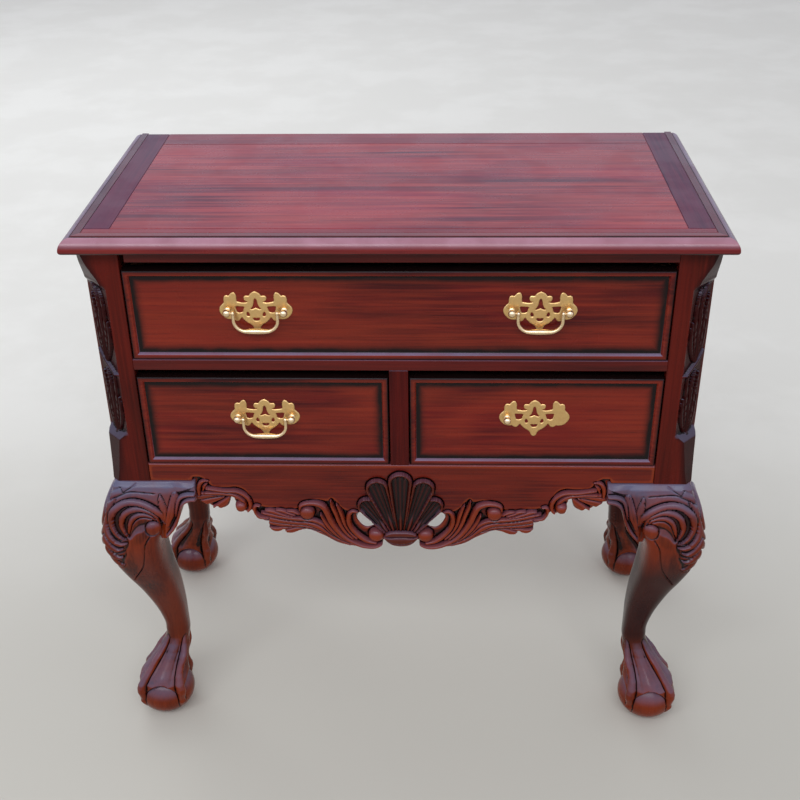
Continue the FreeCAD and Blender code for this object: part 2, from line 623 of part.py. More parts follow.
def flute(hinge, turn, reach, half_width):
    """Scoop for one lobe: a cone that ends in a ball, leaned forward out of the shell's face."""
    bowl = (half_width ** 2 + FLUTE_DEPTH ** 2) / (2 * FLUTE_DEPTH)
    face = hinge + vec(0, -SHELL_HEIGHT, 0)
    start = face + spoke(turn, FLUTE_START) + vec(0, -CUT_PAST, 0)
    centre = face + spoke(turn, reach - SHELL_RIM - half_width) + vec(0, FLUTE_DEPTH - bowl, 0)
    axis = centre - start
    length = axis.Length
    half_angle = math.asin(bowl / length)
    touch = length * math.cos(half_angle) ** 2
    girth = bowl * math.cos(half_angle)
    middle = (math.pi / 2 + half_angle) / 2
    profile = [
        Part.LineSegment(vec(0, 0, 0), vec(girth, 0, touch)).toShape(),
        Part.Arc(vec(girth, 0, touch), vec(bowl * math.sin(middle), 0, length + bowl * math.cos(middle)),
                 vec(0, 0, length + bowl)).toShape(),
        Part.LineSegment(vec(0, 0, length + bowl), vec(0, 0, 0)).toShape(),
    ]
    scoop = Part.Face(Part.Wire(profile)).revolve(vec(0, 0, 0), UP, 360)
    scoop.Placement = FreeCAD.Placement(start, FreeCAD.Rotation(UP, axis))
    return scoop


def shell():
    """Fluted lobes that spread from the middle of the apron's lower edge."""
    hinge = vec(0, FRONT, LEG_HEIGHT - APRON_DROP + SHELL_HINGE)
    body = Part.Face(shell_outline(hinge)).extrude(vec(0, -SHELL_HEIGHT, 0))
    for turn, reach, half_width in SHELL_LOBES:
        body = body.cut(flute(hinge, turn, reach, half_width))
    return body


def apron():
    board = Part.Face(apron_outline(FRONT)).extrude(vec(0, APRON_THICKNESS, 0))
    hole = Part.Wire(arc_chain(apron_points(APRON_HOLE, FRONT - SHELL_HEIGHT - CUT_PAST)))
    hole = Part.Face(hole).extrude(vec(0, APRON_THICKNESS + SHELL_HEIGHT + 2 * CUT_PAST, 0))
    eyes = []
    for x, drop, radius in SCROLL_EYES:
        centre = vec(spread(x), FRONT, LEG_HEIGHT - drop)
        eye = Part.makeSphere(radius, centre)
        eyes += [eye, mirrored(eye)]
    raised = fused([board, shell()] + eyes)
    return raised.cut(hole).cut(mirrored(hole))


# --- drawers --------------------------------------------------------------------------------------
def drawer(name, x0, x1, floor, opening_height):
    """Nodes of one drawer in the opening x0..x1 above the given floor."""
    left = x0 + DRAWER_SIDE_GAP
    right = x1 - DRAWER_SIDE_GAP
    bottom = floor + DRAWER_BOTTOM_GAP
    top = floor + opening_height - DRAWER_TOP_GAP
    front = box(left, right, FRONT, FRONT + FRONT_THICKNESS, bottom, top)
    rims = []
    for inset, depth in ((LIP_WIDTH, -0.5), (LIP_WIDTH + LIP_BEVEL, FIELD_SINK)):
        pairs = [(left + inset, bottom + inset), (right - inset, bottom + inset),
                 (right - inset, top - inset), (left + inset, top - inset)]
        rim = front_points(pairs, FRONT + depth)
        rims.append(Part.makePolygon(rim + rim[:1]))
    front = front.cut(Part.makeLoft(rims, True, True))
    box_left = left + DRAWER_BOX_INSET
    box_right = right - DRAWER_BOX_INSET
    side_top = top - DRAWER_SIDE_DROP
    inner_front = FRONT + FRONT_THICKNESS
    panel_low = bottom + DRAWER_BOTTOM_RISE
    panel_high = panel_low + DRAWER_BOTTOM_THICKNESS
    panel = box(box_left + DRAWER_BOARD - DRAWER_GROOVE, box_right - DRAWER_BOARD + DRAWER_GROOVE,
                inner_front - DRAWER_GROOVE, DRAWER_BACK, panel_low, panel_high)
    side_left = box(box_left, box_left + DRAWER_BOARD, inner_front, DRAWER_BACK, bottom, side_top).cut(panel)
    side_right = box(box_right - DRAWER_BOARD, box_right, inner_front, DRAWER_BACK, bottom, side_top).cut(panel)
    back = box(box_left + DRAWER_BOARD, box_right - DRAWER_BOARD, DRAWER_BACK - DRAWER_BOARD, DRAWER_BACK,
               panel_high, side_top)
    return {
        name + "_front": front.cut(panel),
        name + "_side_left": side_left,
        name + "_side_right": side_right,
        name + "_back": back,
        name + "_bottom": panel,
    }


# --- handles --------------------------------------------------------------------------------------
# Right half of the backplate's outline, about the middle of the line of its posts: (across, up),
# in arcs that meet at every second point, from the crown round to the foot.
PLATE_EDGE = (
    (0.0, 27.7), (5.2, 25.0), (8.3, 20.8), (14.2, 20.6), (15.0, 15.6), (13.2, 13.4), (10.6, 13.0),
    (11.0, 12.0), (12.4, 11.4), (18.0, 11.2), (24.2, 12.6), (25.2, 15.0), (24.8, 19.6), (28.6, 26.3),
    (35.0, 21.2), (40.6, 20.8), (42.6, 14.6), (42.4, 12.2), (43.6, 9.6), (49.2, 0.2), (43.6, -10.4),
    (38.0, -13.2), (31.0, -13.2), (25.6, -16.0), (21.4, -12.8), (20.4, -11.4), (19.4, -10.6),
    (16.6, -14.6), (11.6, -19.2), (6.6, -22.6), (4.4, -26.8), (2.6, -29.8), (0.0, -31.0),
)
PLATE_WINDOW = ((16.8, 4.8), (21.6, 5.4), (26.4, 5.2), (26.2, 2.0), (25.4, -1.0), (22.0, -0.6), (18.8, -0.8),
                (17.4, 1.8), (16.8, 4.8))
PLATE_KEYHOLE = ((0.0, 17.2), (1.6, 15.6), (2.4, 12.0), (4.0, 6.0), (7.0, 2.0), (4.6, 1.4), (0.0, 3.4))
PLATE_DROP = ((11.4, -2.6), (13.0, -6.0), (12.0, -8.8), (10.0, -9.2), (8.6, -8.0), (9.2, -4.8), (11.4, -2.6))
PLATE_CRESCENT = ((0.0, -15.8), (3.4, -15.0), (4.8, -12.6), (2.6, -13.4), (0.0, -13.4))


def plate_face(pairs, origin):
    """Closed face from a right half and its reflection, both about the plate's middle."""
    right = front_points(pairs, 0)
    edges = arc_chain(right) + arc_chain(reflected(right))
    face = Part.Face(Part.Wire(Part.sortEdges(edges)[0]))
    face.translate(origin)
    return face


def backplate(x, z):
    """Pierced backplate on the drawer's field, with a hole for each post."""
    origin = vec(x, FIELD_FACE, z)
    outward = vec(0, -PLATE_THICKNESS, 0)
    plate = plate_face(PLATE_EDGE, origin).extrude(outward)
    for pairs in (PLATE_KEYHOLE, PLATE_CRESCENT):
        plate = plate.cut(plate_face(pairs, origin).extrude(outward))
    for pairs in (PLATE_WINDOW, PLATE_DROP):
        right = Part.Face(Part.Wire(arc_chain(front_points(pairs, 0)))).extrude(outward)
        left = mirrored(right)
        for window in (right, left):
            window.translate(origin)
            plate = plate.cut(window)
    for hand in (1, -1):
        centre = origin + vec(hand * HANDLE_BORING / 2, 1, 0)
        plate = plate.cut(Part.makeCylinder(STUD_RADIUS, PLATE_THICKNESS + 2, centre, vec(0, -1, 0)))
    return plate


def stud_hole(x, z):
    """Hole through a drawer front for the shank of a handle post."""
    return Part.makeCylinder(STUD_RADIUS, FRONT_THICKNESS + 2, vec(x, FRONT - 1, z), vec(0, 1, 0))


def handle_post(x, z, inner_side):
    """Turned post with its shank and nut; inner_side is +1 where the bail is towards +X."""
    base = FIELD_FACE - PLATE_THICKNESS
    rear = FRONT + FRONT_THICKNESS
    post = fused([
        Part.makeCylinder(POST_COLLAR_RADIUS, POST_COLLAR_HEIGHT, vec(x, base, z), vec(0, -1, 0)),
        Part.makeCylinder(POST_NECK_RADIUS, POST_STANDOFF, vec(x, base, z), vec(0, -1, 0)),
        Part.makeSphere(POST_HEAD_RADIUS, vec(x, BAIL_AXIS, z)),
        Part.makeCylinder(STUD_RADIUS, rear + NUT_THICKNESS - base, vec(x, base, z), vec(0, 1, 0)),
        Part.makeCylinder(NUT_RADIUS, NUT_THICKNESS, vec(x, rear, z), vec(0, 1, 0)),
    ])
    depth = BAIL_PIN_ENGAGEMENT + BAIL_PIN_END_GAP
    mouth = x + inner_side * (POST_HEAD_RADIUS + 1)
    hole = Part.makeCylinder(BAIL_PIN_RADIUS + BAIL_PIN_CLEARANCE, depth + 1,
                             vec(mouth, BAIL_AXIS, z), vec(-inner_side, 0, 0))
    return post.cut(hole)


def bail(x, z):
    """Swinging bail: two arms with pins that turn in the posts, and a grip swelled in the middle."""
    arm = HANDLE_BORING / 2 - BAIL_ARM_INSET
    bottom = z - BAIL_DROP
    bend = BAIL_BEND_RADIUS
    half_grip = BAIL_GRIP_LENGTH / 2
    grip_edge = [
        Part.Arc(vec(-half_grip, 0, BAIL_ARM_RADIUS), vec(0, 0, BAIL_GRIP_RADIUS),
                 vec(half_grip, 0, BAIL_ARM_RADIUS)).toShape(),
        Part.LineSegment(vec(half_grip, 0, BAIL_ARM_RADIUS), vec(half_grip, 0, 0)).toShape(),
        Part.LineSegment(vec(half_grip, 0, 0), vec(-half_grip, 0, 0)).toShape(),
        Part.LineSegment(vec(-half_grip, 0, 0), vec(-half_grip, 0, BAIL_ARM_RADIUS)).toShape(),
    ]
    grip = Part.Face(Part.Wire(grip_edge)).revolve(vec(0, 0, 0), vec(1, 0, 0), 360)
    grip.translate(vec(0, 0, bottom))
    bar = Part.makeCylinder(BAIL_ARM_RADIUS, 2 * (arm - bend), vec(bend - arm, 0, bottom), vec(1, 0, 0))
    pieces = [bar, grip]
    for hand in (1, -1):
        hub = vec(hand * (arm - bend), 0, bottom + bend)
        ring = Part.Face(Part.Wire(Part.makeCircle(BAIL_ARM_RADIUS, vec(hand * arm, 0, hub.z), UP)))
        pieces.append(ring.revolve(hub, vec(0, hand, 0), 90))
        pieces.append(Part.makeCylinder(BAIL_ARM_RADIUS, BAIL_DROP - bend, vec(hand * arm, 0, bottom + bend), UP))
        pieces.append(Part.makeSphere(BAIL_KNOB_RADIUS, vec(hand * arm, 0, z)))
        reach = BAIL_ARM_INSET - POST_HEAD_RADIUS + BAIL_PIN_ENGAGEMENT
        pieces.append(Part.makeCylinder(BAIL_PIN_RADIUS, reach, vec(hand * arm, 0, z), vec(hand, 0, 0)))
    body = fused(pieces)
    body.translate(vec(x, BAIL_AXIS, 0))
    return body


def handle(prefix, x, z, has_bail):
    """Nodes of one handle; a handle that has lost its bail keeps only its left post."""
    half = HANDLE_BORING / 2
    posts = [handle_post(x - half, z, 1)]
    nodes = {prefix + "_plate": backplate(x, z)}
    if has_bail:
        posts.append(handle_post(x + half, z, -1))
        nodes[prefix + "_bail"] = bail(x, z)
    nodes[prefix + "_posts"] = Part.makeCompound(posts)
    return nodes


def drawers_and_handles():
    nodes = {}
    upper_centre = UPPER_FLOOR + (UPPER_OPENING_HEIGHT - DRAWER_TOP_GAP) / 2 + HANDLE_RISE
    lower_centre = APRON_TOP + (LOWER_OPENING_HEIGHT - DRAWER_TOP_GAP) / 2 + HANDLE_RISE
    nodes.update(drawer("top_drawer", -OPENING_HALF, OPENING_HALF, UPPER_FLOOR, UPPER_OPENING_HEIGHT))
    nodes.update(drawer("left_drawer", -OPENING_HALF, -DIVIDER_WIDTH / 2, APRON_TOP, LOWER_OPENING_HEIGHT))
    nodes.update(drawer("right_drawer", DIVIDER_WIDTH / 2, OPENING_HALF, APRON_TOP, LOWER_OPENING_HEIGHT))
    lower_offset = (OPENING_HALF + DIVIDER_WIDTH / 2) / 2
    places = (
        ("top_drawer_front", "top_left_handle", -HANDLE_SIDE_OFFSET, upper_centre, True),
        ("top_drawer_front", "top_right_handle", HANDLE_SIDE_OFFSET, upper_centre, True),
        ("left_drawer_front", "lower_left_handle", -lower_offset, lower_centre, True),
        ("right_drawer_front", "lower_right_handle", lower_offset, lower_centre, False),
    )
    for front, prefix, x, z, has_bail in places:
        nodes.update(handle(prefix, x, z, has_bail))
        for hand in (-1, 1):
            nodes[front] = nodes[front].cut(stud_hole(x + hand * HANDLE_BORING / 2, z))
    return nodes


def build():
    nodes = {}
    nodes.update(top_mouldings())
    nodes.update(top_boards())
    nodes.update(case_parts())
    nodes.update(leg_parts())
    nodes["apron"] = apron()
    nodes.update(drawers_and_handles())
    return nodes


os.makedirs("parts", exist_ok=True)
for node_name, node_shape in build().items():
    node_shape.exportStep(os.path.join("parts", node_name + ".step"))
    print(node_name, "solids", len(node_shape.Solids), "valid", node_shape.isValid(),
          "volume", round(node_shape.Volume))
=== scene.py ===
"""Lowboy: one wide drawer over two narrow ones in a case on carved cabriole legs.

Sizes in the classes and tables are millimetres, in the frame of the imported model: +Z up, front
towards -Y, origin on the floor under the middle of the case. Meshes are written in metres.
Carving tables hold (across, drop) pairs: across is the distance from the middle of the apron or
in from the leg's outer face, drop the distance below the tops of the legs.
"""

import logging
import math
from dataclasses import dataclass, field
from enum import Enum
from functools import cache
from typing import Callable, Sequence

import bmesh
import bpy
import numpy as np
from mathutils import Matrix, Vector
from mathutils.geometry import delaunay_2d_cdt
from mathutils.kdtree import KDTree


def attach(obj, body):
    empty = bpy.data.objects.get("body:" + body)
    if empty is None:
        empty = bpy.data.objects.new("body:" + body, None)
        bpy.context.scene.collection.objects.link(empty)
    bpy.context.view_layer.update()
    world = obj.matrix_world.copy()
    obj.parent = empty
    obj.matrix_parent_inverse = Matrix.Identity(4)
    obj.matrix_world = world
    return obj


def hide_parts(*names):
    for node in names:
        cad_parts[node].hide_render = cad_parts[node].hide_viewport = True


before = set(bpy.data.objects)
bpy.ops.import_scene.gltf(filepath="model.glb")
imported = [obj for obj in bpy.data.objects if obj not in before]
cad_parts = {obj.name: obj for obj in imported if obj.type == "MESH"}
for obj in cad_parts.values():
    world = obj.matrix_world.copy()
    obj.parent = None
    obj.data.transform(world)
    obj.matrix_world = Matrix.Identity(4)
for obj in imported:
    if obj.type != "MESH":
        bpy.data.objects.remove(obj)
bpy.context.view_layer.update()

MM = 0.001
LOG = logging.getLogger("lowboy")
Pairs = Sequence[tuple[float, float]]
Height = Callable[[np.ndarray], np.ndarray]

# Levels and faces that several sub-assemblies share.
LEG_TOP = 463.0
CASE_TOP = 831.0
SIDE = 422.0
FRONT = -202.0
BACK = 202.0
OPENING_HALF = 366.0
FIELD_DEPTH = 4.5
MIRROR = np.array([-1, 1])


class Hand(Enum):
    """Side of the case, as the sign of its x."""

    LEFT = -1
    RIGHT = 1

    @property
    def word(self) -> str:
        """The side's name as it stands in the names of pieces."""
        return self.name.lower()


class Trace(Enum):
    """What the years left on a surface, and the shade and sheen painted on it, kept as one number for
    each vertex.

    HOLLOW is 1 deep in a cut and -1 on a sharp crest, RUBBED is taken off it where hands polished
    the wood, the third trace is the share of painted dark shade and the fourth is added to the
    painted sheen.
    """

    HOLLOW = "hollow"
    RUBBED = "rubbed"
    STAIN = "stain"
    BLOOM = "bloom"


# --- curves ---------------------------------------------------------------------------------


def flowing(points: Pairs, step: float = 1.5, closed: bool = False) -> np.ndarray:
    """Smooth curve through control points.

    Args:
        points: Control points, each a tuple of two or more numbers that are all carried along.
        step: Greatest distance between the points returned.
        closed: Whether the curve returns to its first point.

    Returns:
        Array of points on a smooth line through all control points.
    """
    ctrl = np.asarray(points, float)
    count = len(ctrl)
    last = count if closed else count - 1
    rows = []
    for i in range(last):
        if closed:
            p0, p1, p2, p3 = (ctrl[(i + k) % count] for k in (-1, 0, 1, 2))
        else:
            p1, p2 = ctrl[i], ctrl[i + 1]
            p0 = ctrl[i - 1] if i else 2 * p1 - p2
            p3 = ctrl[i + 2] if i + 2 < count else 2 * p2 - p1
        pieces = max(1, int(math.ceil(np.linalg.norm((p2 - p1)[:2]) / step)))
        t = np.linspace(0, 1, pieces, endpoint=False)[:, None]
        rows.append(0.5 * (2 * p1 + (p2 - p0) * t + (2 * p0 - 5 * p1 + 4 * p2 - p3) * t ** 2
                           + (3 * p1 - p0 - 3 * p2 + p3) * t ** 3))
    if not closed:
        rows.append(ctrl[-1:])
    return np.vstack(rows)


def straight(points: Pairs, step: float) -> np.ndarray:
    """Points no further apart than step along the straight runs between corners.

    Args:
        points: Corner points.
        step: Greatest distance between the points returned.

    Returns:
        Array of points from the first corner to the last.
    """
    ctrl = np.asarray(points, float)
    rows = []
    for a, b in zip(ctrl, ctrl[1:]):
        pieces = max(1, int(math.ceil(np.linalg.norm(b - a) / step)))
        rows.append(a + (b - a) * np.linspace(0, 1, pieces, endpoint=False)[:, None])
    return np.vstack([*rows, ctrl[-1:]])


def near_line(points: np.ndarray, line: np.ndarray) -> tuple[np.ndarray, np.ndarray, np.ndarray]:
    """Nearest place on a line for every point.

    Args:
        points: Array of (x, z) points.
        line: Points of an open line.

    Returns:
        Distance to the line, place along it as an index with a fraction, and the side it lies on.
    """
    best = np.full(len(points), 1e18)
    place = np.zeros(len(points))
    side = np.zeros(len(points))
    for i in range(len(line) - 1):
        a, run = line[i], line[i + 1] - line[i]
        length = float(run @ run) or 1e-12
        rel = points - a
        t = np.clip((rel @ run) / length, 0, 1)
        gap = ((rel - t[:, None] * run) ** 2).sum(1)
        closer = gap < best
        best[closer] = gap[closer]
        place[closer] = i + t[closer]
        side[closer] = np.sign(run[0] * rel[closer, 1] - run[1] * rel[closer, 0])
    return np.sqrt(best), place, side


def inside(points: np.ndarray, loop: np.ndarray) -> np.ndarray:
    """Which points lie inside a closed loop.

    Args:
        points: Array of (x, z) points.
        loop: Corners of the loop.

    Returns:
        True for each point inside.
    """
    hit = np.zeros(len(points), bool)
    x, z = points[:, 0], points[:, 1]
    for i in range(len(loop)):
        (x0, z0), (x1, z1) = loop[i - 1], loop[i]
        if z0 == z1:
            continue
        crosses = (z0 > z) != (z1 > z)
        hit ^= crosses & (x < (x1 - x0) * (z - z0) / (z1 - z0) + x0)
    return hit


def ease(low: float, high: float, value: np.ndarray) -> np.ndarray:
    """Smooth step from 0 at low to 1 at high."""
    t = np.clip((value - low) / (high - low), 0, 1)
    return t * t * (3 - 2 * t)


def both_halves(half: np.ndarray) -> np.ndarray:
    """Closed loop from its right half and the mirrored left half."""
    return np.vstack([half, half[::-1][1:-1] * MIRROR])


def and_mirrored(loop: np.ndarray) -> list[np.ndarray]:
    """A closed loop and its twin on the other side of the middle."""
    return [loop, loop[::-1] * MIRROR]


# --- carving --------------------------------------------------------------------------------


def around(points: np.ndarray, run: np.ndarray, reach: float) -> np.ndarray:
    """Which points lie within reach of the box round a line."""
    low, high = run[:, :2].min(0) - reach, run[:, :2].max(0) + reach
    return ((points > low) & (points < high)).all(1)


# Least half width of a rib or groove, and half width of the vein along a rib.
LEAST_HALF = 0.3
VEIN_HALF = 1.1


def across_line(line: tuple, points: np.ndarray) -> tuple[np.ndarray, np.ndarray, np.ndarray]:
    """Where points lie across a stroke's line.

    Args:
        line: The line, as (across, drop, half width) points.
        points: (across, drop) of each point.

    Returns:
        Distance to the line, the line's half width there, and the side that each point lies on.
    """
    run = flowing(line)
    gap, place, side = near_line(points, run[:, :2])
    return gap, np.interp(place, np.arange(len(run)), np.maximum(run[:, 2], LEAST_HALF)), side


class Stroke:
    """One stroke of the carver's; it changes the work only near itself."""

    def near(self, points: np.ndarray) -> np.ndarray:
        """Which points the stroke may change."""
        raise NotImplementedError

    def work(self, points: np.ndarray, height: np.ndarray) -> np.ndarray:
        """Height of the work at points near the stroke."""
        raise NotImplementedError

    def carve(self, points: np.ndarray, height: np.ndarray) -> np.ndarray:
        """Makes the stroke.

        Args:
            points: (across, drop) of each point of the work.
            height: Height of the work so far.

        Returns:
            Height of the whole work once the stroke is made.
        """
        near = self.near(points)
        done = height.copy()
        if near.any():
            done[near] = self.work(points[near], height[near])
        return done


@dataclass(frozen=True)
class Rib(Stroke):
    """A rounded band left standing, with a cut along both its edges.

    Its points are (across, drop, half width); crown is the height of its middle above the edges
    and base the height of the edges. A vein is a cut along its middle. With a lean it stands
    higher on its left side than on its right.
    """

    line: tuple
    crown: float = 3.5
    base: float = 0.0
    cut: float = 2.2
    cut_width: float = 1.5
    vein: float = 0.0
    lean: float = 0.0

    def near(self, points: np.ndarray) -> np.ndarray:
        """Points within the rib's width and its side cuts."""
        run = np.array(self.line, float)
        return around(points, run, run[:, 2].max() * 1.3 + self.cut_width + 3)

    def work(self, points: np.ndarray, height: np.ndarray) -> np.ndarray:
        """Makes this kind of stroke.

        Args:
            points: (across, drop) of each point near the stroke.
            height: Height of the work there so far.

        Returns:
            Height of the work once the rib stands in it.
        """
        gap, half, side = across_line(self.line, points)
        share = gap / half
        body = self.base + self.crown * np.clip(1 - share ** 2.6, 0, 1) ** 0.5 + self.lean * side * share
        body = body - self.vein * np.clip(1 - gap / VEIN_HALF, 0, 1)
        trench = height - self.cut * np.clip(1 - (gap - half) / self.cut_width, 0, 1)
        return np.where(share < 1, body, trench)


@dataclass(frozen=True)
class Cut(Stroke):
    """A groove; its points are (across, drop, half width)."""

    line: tuple
    depth: float = 2.0

    def near(self, points: np.ndarray) -> np.ndarray:
        """Points within the groove's width."""
        run = np.array(self.line, float)
        return around(points, run, run[:, 2].max() + 4)

    def work(self, points: np.ndarray, height: np.ndarray) -> np.ndarray:
        """Makes this kind of stroke.

        Args:
            points: (across, drop) of each point near the stroke.
            height: Height of the work there so far.

        Returns:
            Height of the work once the groove is cut.
        """
        gap, half, _ = across_line(self.line, points)
        return height - self.depth * np.clip(1 - gap / half, 0, 1) ** 0.8


@dataclass(frozen=True)
class Boss(Stroke):
    """A ball of a scroll; radii are across and up."""

    at: tuple[float, float]
    radii: tuple[float, float]
    crown: float = 7.0
    base: float = 0.0
    cut: float = 2.5
    cut_width: float = 2.2

    def near(self, points: np.ndarray) -> np.ndarray:
        """Points within the ball and the cut round it."""
        return around(points, np.array([self.at]), max(self.radii) + self.cut_width * 1.5)

    def work(self, points: np.ndarray, height: np.ndarray) -> np.ndarray:
        """Makes this kind of stroke.

        Args:
            points: (across, drop) of each point near the stroke.
            height: Height of the work there so far.

        Returns:
            Height of the work once the ball stands in it.
        """
        rel = (points - np.array(self.at)) / np.array(self.radii)
        share = np.sqrt((rel ** 2).sum(1))
        gap = (share - 1) * min(self.radii)
        body = self.base + self.crown * np.sqrt(np.clip(1 - share ** 2, 0, 1))
        trench = height - self.cut * np.clip(1 - gap / self.cut_width, 0, 1)
        return np.where(share < 1, body, trench)


@dataclass(frozen=True)
class Ground(Stroke):
    """A sunk field inside a closed line; the step down is soft over the given width."""

    loop: tuple
    level: float
    soft: float = 1.5

    def near(self, points: np.ndarray) -> np.ndarray:
        """Points in the box round the field."""
        return around(points, np.array(self.loop, float), 4)

    def work(self, points: np.ndarray, height: np.ndarray) -> np.ndarray:
        """Makes this kind of stroke.

        Args:
            points: (across, drop) of each point near the stroke.
            height: Height of the work there so far.

        Returns:
            Height of the work once the field is sunk.
        """
        run = flowing(self.loop, 2.0, True)
        gap, _, _ = near_line(points, np.vstack([run, run[:1]]))
        depth = np.where(inside(points, run), ease(0, self.soft, gap), 0)
        return height + (self.level - height) * depth


def carved(strokes: Sequence[Stroke], points: np.ndarray) -> np.ndarray:
    """Makes strokes on a flat face, one after the other.

    Args:
        strokes: The strokes in their order.
        points: (across, drop) of each point of the face.

    Returns:
        Height of the face at the points.
    """
    work = np.zeros(len(points))
    for stroke in strokes:
        work = stroke.carve(points, work)
    return work


# --- meshes ---------------------------------------------------------------------------------


@dataclass
class Shape:
    """Vertices in millimetres, faces and traces of one piece."""

    points: np.ndarray
    faces: list
    traces: dict[Trace, np.ndarray] = field(default_factory=dict)

    def joined(self, other: "Shape") -> "Shape":
        """Joins another shape to this one.

        Args:
            other: The other shape.

        Returns:
            Both as one shape.
        """
        count = len(self.points)
        faces = self.faces + [tuple(i + count for i in f) for f in other.faces]
        return Shape(np.vstack([self.points, other.points]), faces)

    def mirrored(self) -> "Shape":
        """The same shape on the other side of the middle plane."""
        return Shape(self.points * np.array([-1.0, 1, 1]), [f[::-1] for f in self.faces], self.traces)


def grid_faces(rows: int, columns: int, around: bool) -> list:
    """Quads of a grid of points.

    Args:
        rows: Number of rows.
        columns: Number of points in each row.
        around: Whether each row is a ring.

    Returns:
        The quads.
    """
    row = np.arange(rows - 1)[:, None] * columns
    column = np.arange(columns if around else columns - 1)[None, :]
    after = (column + 1) % columns
    quads = np.stack([row + column, row + after, row + columns + after, row + columns + column], -1)
    return [tuple(q) for q in quads.reshape(-1, 4).tolist()]


def capped_faces(rows: int, columns: int) -> list:
    """Quads between rings, and a flat face across each end."""
    ends = [tuple(reversed(range(columns))), tuple(range((rows - 1) * columns, rows * columns))]
    return grid_faces(rows, columns, True) + ends


def pointed_faces(rows: int, columns: int) -> list:
    """Faces between rings, and a fan at each end.

    Args:
        rows: Number of rings.
        columns: Number of points in each ring.

    Returns:
        The faces; the middle points of the first and the last fan follow the rings' points.
    """
    faces = grid_faces(rows, columns, True)
    low, high = rows * columns, rows * columns + 1
    for i in range(columns):
        j = (i + 1) % columns
        faces += [(low, j, i), (high, low - columns + i, low - columns + j)]
    return faces


# Rows of a triangular grid lie this share of its spacing apart, and its points keep clear of the
# edge by this share; points of a loop closer than the merge gap become one.
ROW_PITCH = 0.866
EDGE_CLEARANCE = 0.55
MERGE_GAP = 1e-5


def relief_plate(outline: np.ndarray, holes: list, spacing: float, height: Height, front: Height,
                 back: float, arris: float, fall: float = 0.0) -> Shape:
    """Plate with a carved front, parallel to the case's front.

    Args:
        outline: Closed outline as (x, z) points.
        holes: Closed outlines of its holes.
        spacing: Distance between the points of the carved face.
        height: Height of the carving above the face at each point.
        front: y of the uncarved face at each point.
        back: y of the flat back.
        arris: Radius by which the edges of the face are rounded.
        fall: How much lower the holes come out at the back.

    Returns:
        The closed plate.
    """
    loops = [outline] + holes
    low, high = outline.min(0), outline.max(0)
    rows = []
    for k, z in enumerate(np.arange(low[1], high[1], spacing * ROW_PITCH)):
        x = np.arange(low[0] + (k % 2) * spacing / 2, high[0], spacing)
        rows.append(np.column_stack([x, np.full(len(x), z)]))
    grid = np.vstack(rows)
    grid = grid[within(grid, loops)]
    grid = grid[edge_distance(grid, loops) > spacing * EDGE_CLEARANCE]
    front_points, front_faces = triangulated(loops, grid)
    gap = edge_distance(front_points, loops)
    rounding = arris - np.sqrt(np.clip(arris ** 2 - np.clip(arris - gap, 0, arris) ** 2, 0, None))
    level = front(front_points) - height(front_points) + rounding
    face = np.stack([front_points[:, 0], np.minimum(level, back - 1), front_points[:, 1]], 1)
    rear_loops = [outline] + [hole - np.array([0.0, fall]) for hole in holes]
    back_points, back_faces = triangulated(rear_loops, np.zeros((0, 2)))
    rear = np.stack([back_points[:, 0], np.full(len(back_points), back), back_points[:, 1]], 1)
    faces = front_faces + [tuple(len(face) + i for i in reversed(f)) for f in back_faces]
    start = 0
    for loop in loops:
        for i in range(len(loop)):
            a, b = start + i, start + (i + 1) % len(loop)
            faces.append((b, a, len(face) + a, len(face) + b))
        start += len(loop)
    return Shape(np.vstack([face, rear]), faces)


def within(points: np.ndarray, loops: list) -> np.ndarray:
    """Which points lie inside the first loop and outside the others."""
    return inside(points, loops[0]) & ~np.any([inside(points, hole) for hole in loops[1:]] or [False], axis=0)


def edge_distance(points: np.ndarray, loops: list) -> np.ndarray:
    """Distance of points to the nearest loop.

    Args:
        points: Array of (x, z) points.
        loops: Closed loops.

    Returns:
        Distance for each point.
    """
    spots = np.vstack(loops)
    tree = KDTree(len(spots))
    for index, (x, z) in enumerate(spots.tolist()):
        tree.insert((x, z, 0.0), index)
    tree.balance()
    nearest = np.array([tree.find((x, z, 0.0))[1] for x, z in points.tolist()])
    gaps = []
    for step in (1, -1):
        ends = np.vstack([np.roll(loop, step, 0) for loop in loops])
        start, run = spots[nearest], ends[nearest] - spots[nearest]
        t = np.clip(((points - start) * run).sum(1) / np.maximum((run ** 2).sum(1), 1e-12), 0, 1)
        gaps.append(np.linalg.norm(points - start - t[:, None] * run, axis=1))
    return np.minimum(*gaps)


def triangulated(loops: list, free: np.ndarray) -> tuple[np.ndarray, list]:
    """Triangles between closed loops and free points.

    Args:
        loops: The loops; the first is the outline and the others are holes.
        free: Points inside.

    Returns:
        Points, those of the loops first and in order, and faces that wind one way round.
    """
    edges, start = [], 0
    for loop in loops:
        count = len(loop)
        edges += [(start + i, start + (i + 1) % count) for i in range(count)]
        start += count
    points = np.vstack([*loops, free])
    given = [Vector(p) for p in points.tolist()]
    _, _, faces, origins, _, _ = delaunay_2d_cdt(given, edges, [], 0, MERGE_GAP)
    source = np.array([o[0] if o else -1 for o in origins])
    corners = source[np.array(faces)]
    corners = corners[(corners >= 0).all(1)]
    corners = corners[within(points[corners].mean(1), loops)]
    a, b, c = (points[corners[:, i]] for i in range(3))
    turn = (b[:, 0] - a[:, 0]) * (c[:, 1] - a[:, 1]) - (b[:, 1] - a[:, 1]) * (c[:, 0] - a[:, 0])
    corners[turn < 0] = corners[turn < 0][:, ::-1]
    return points, [tuple(f) for f in corners.tolist()]


class Axis(Enum):
    """Direction that a turned shape runs in."""

    X = 0
    Y = 1


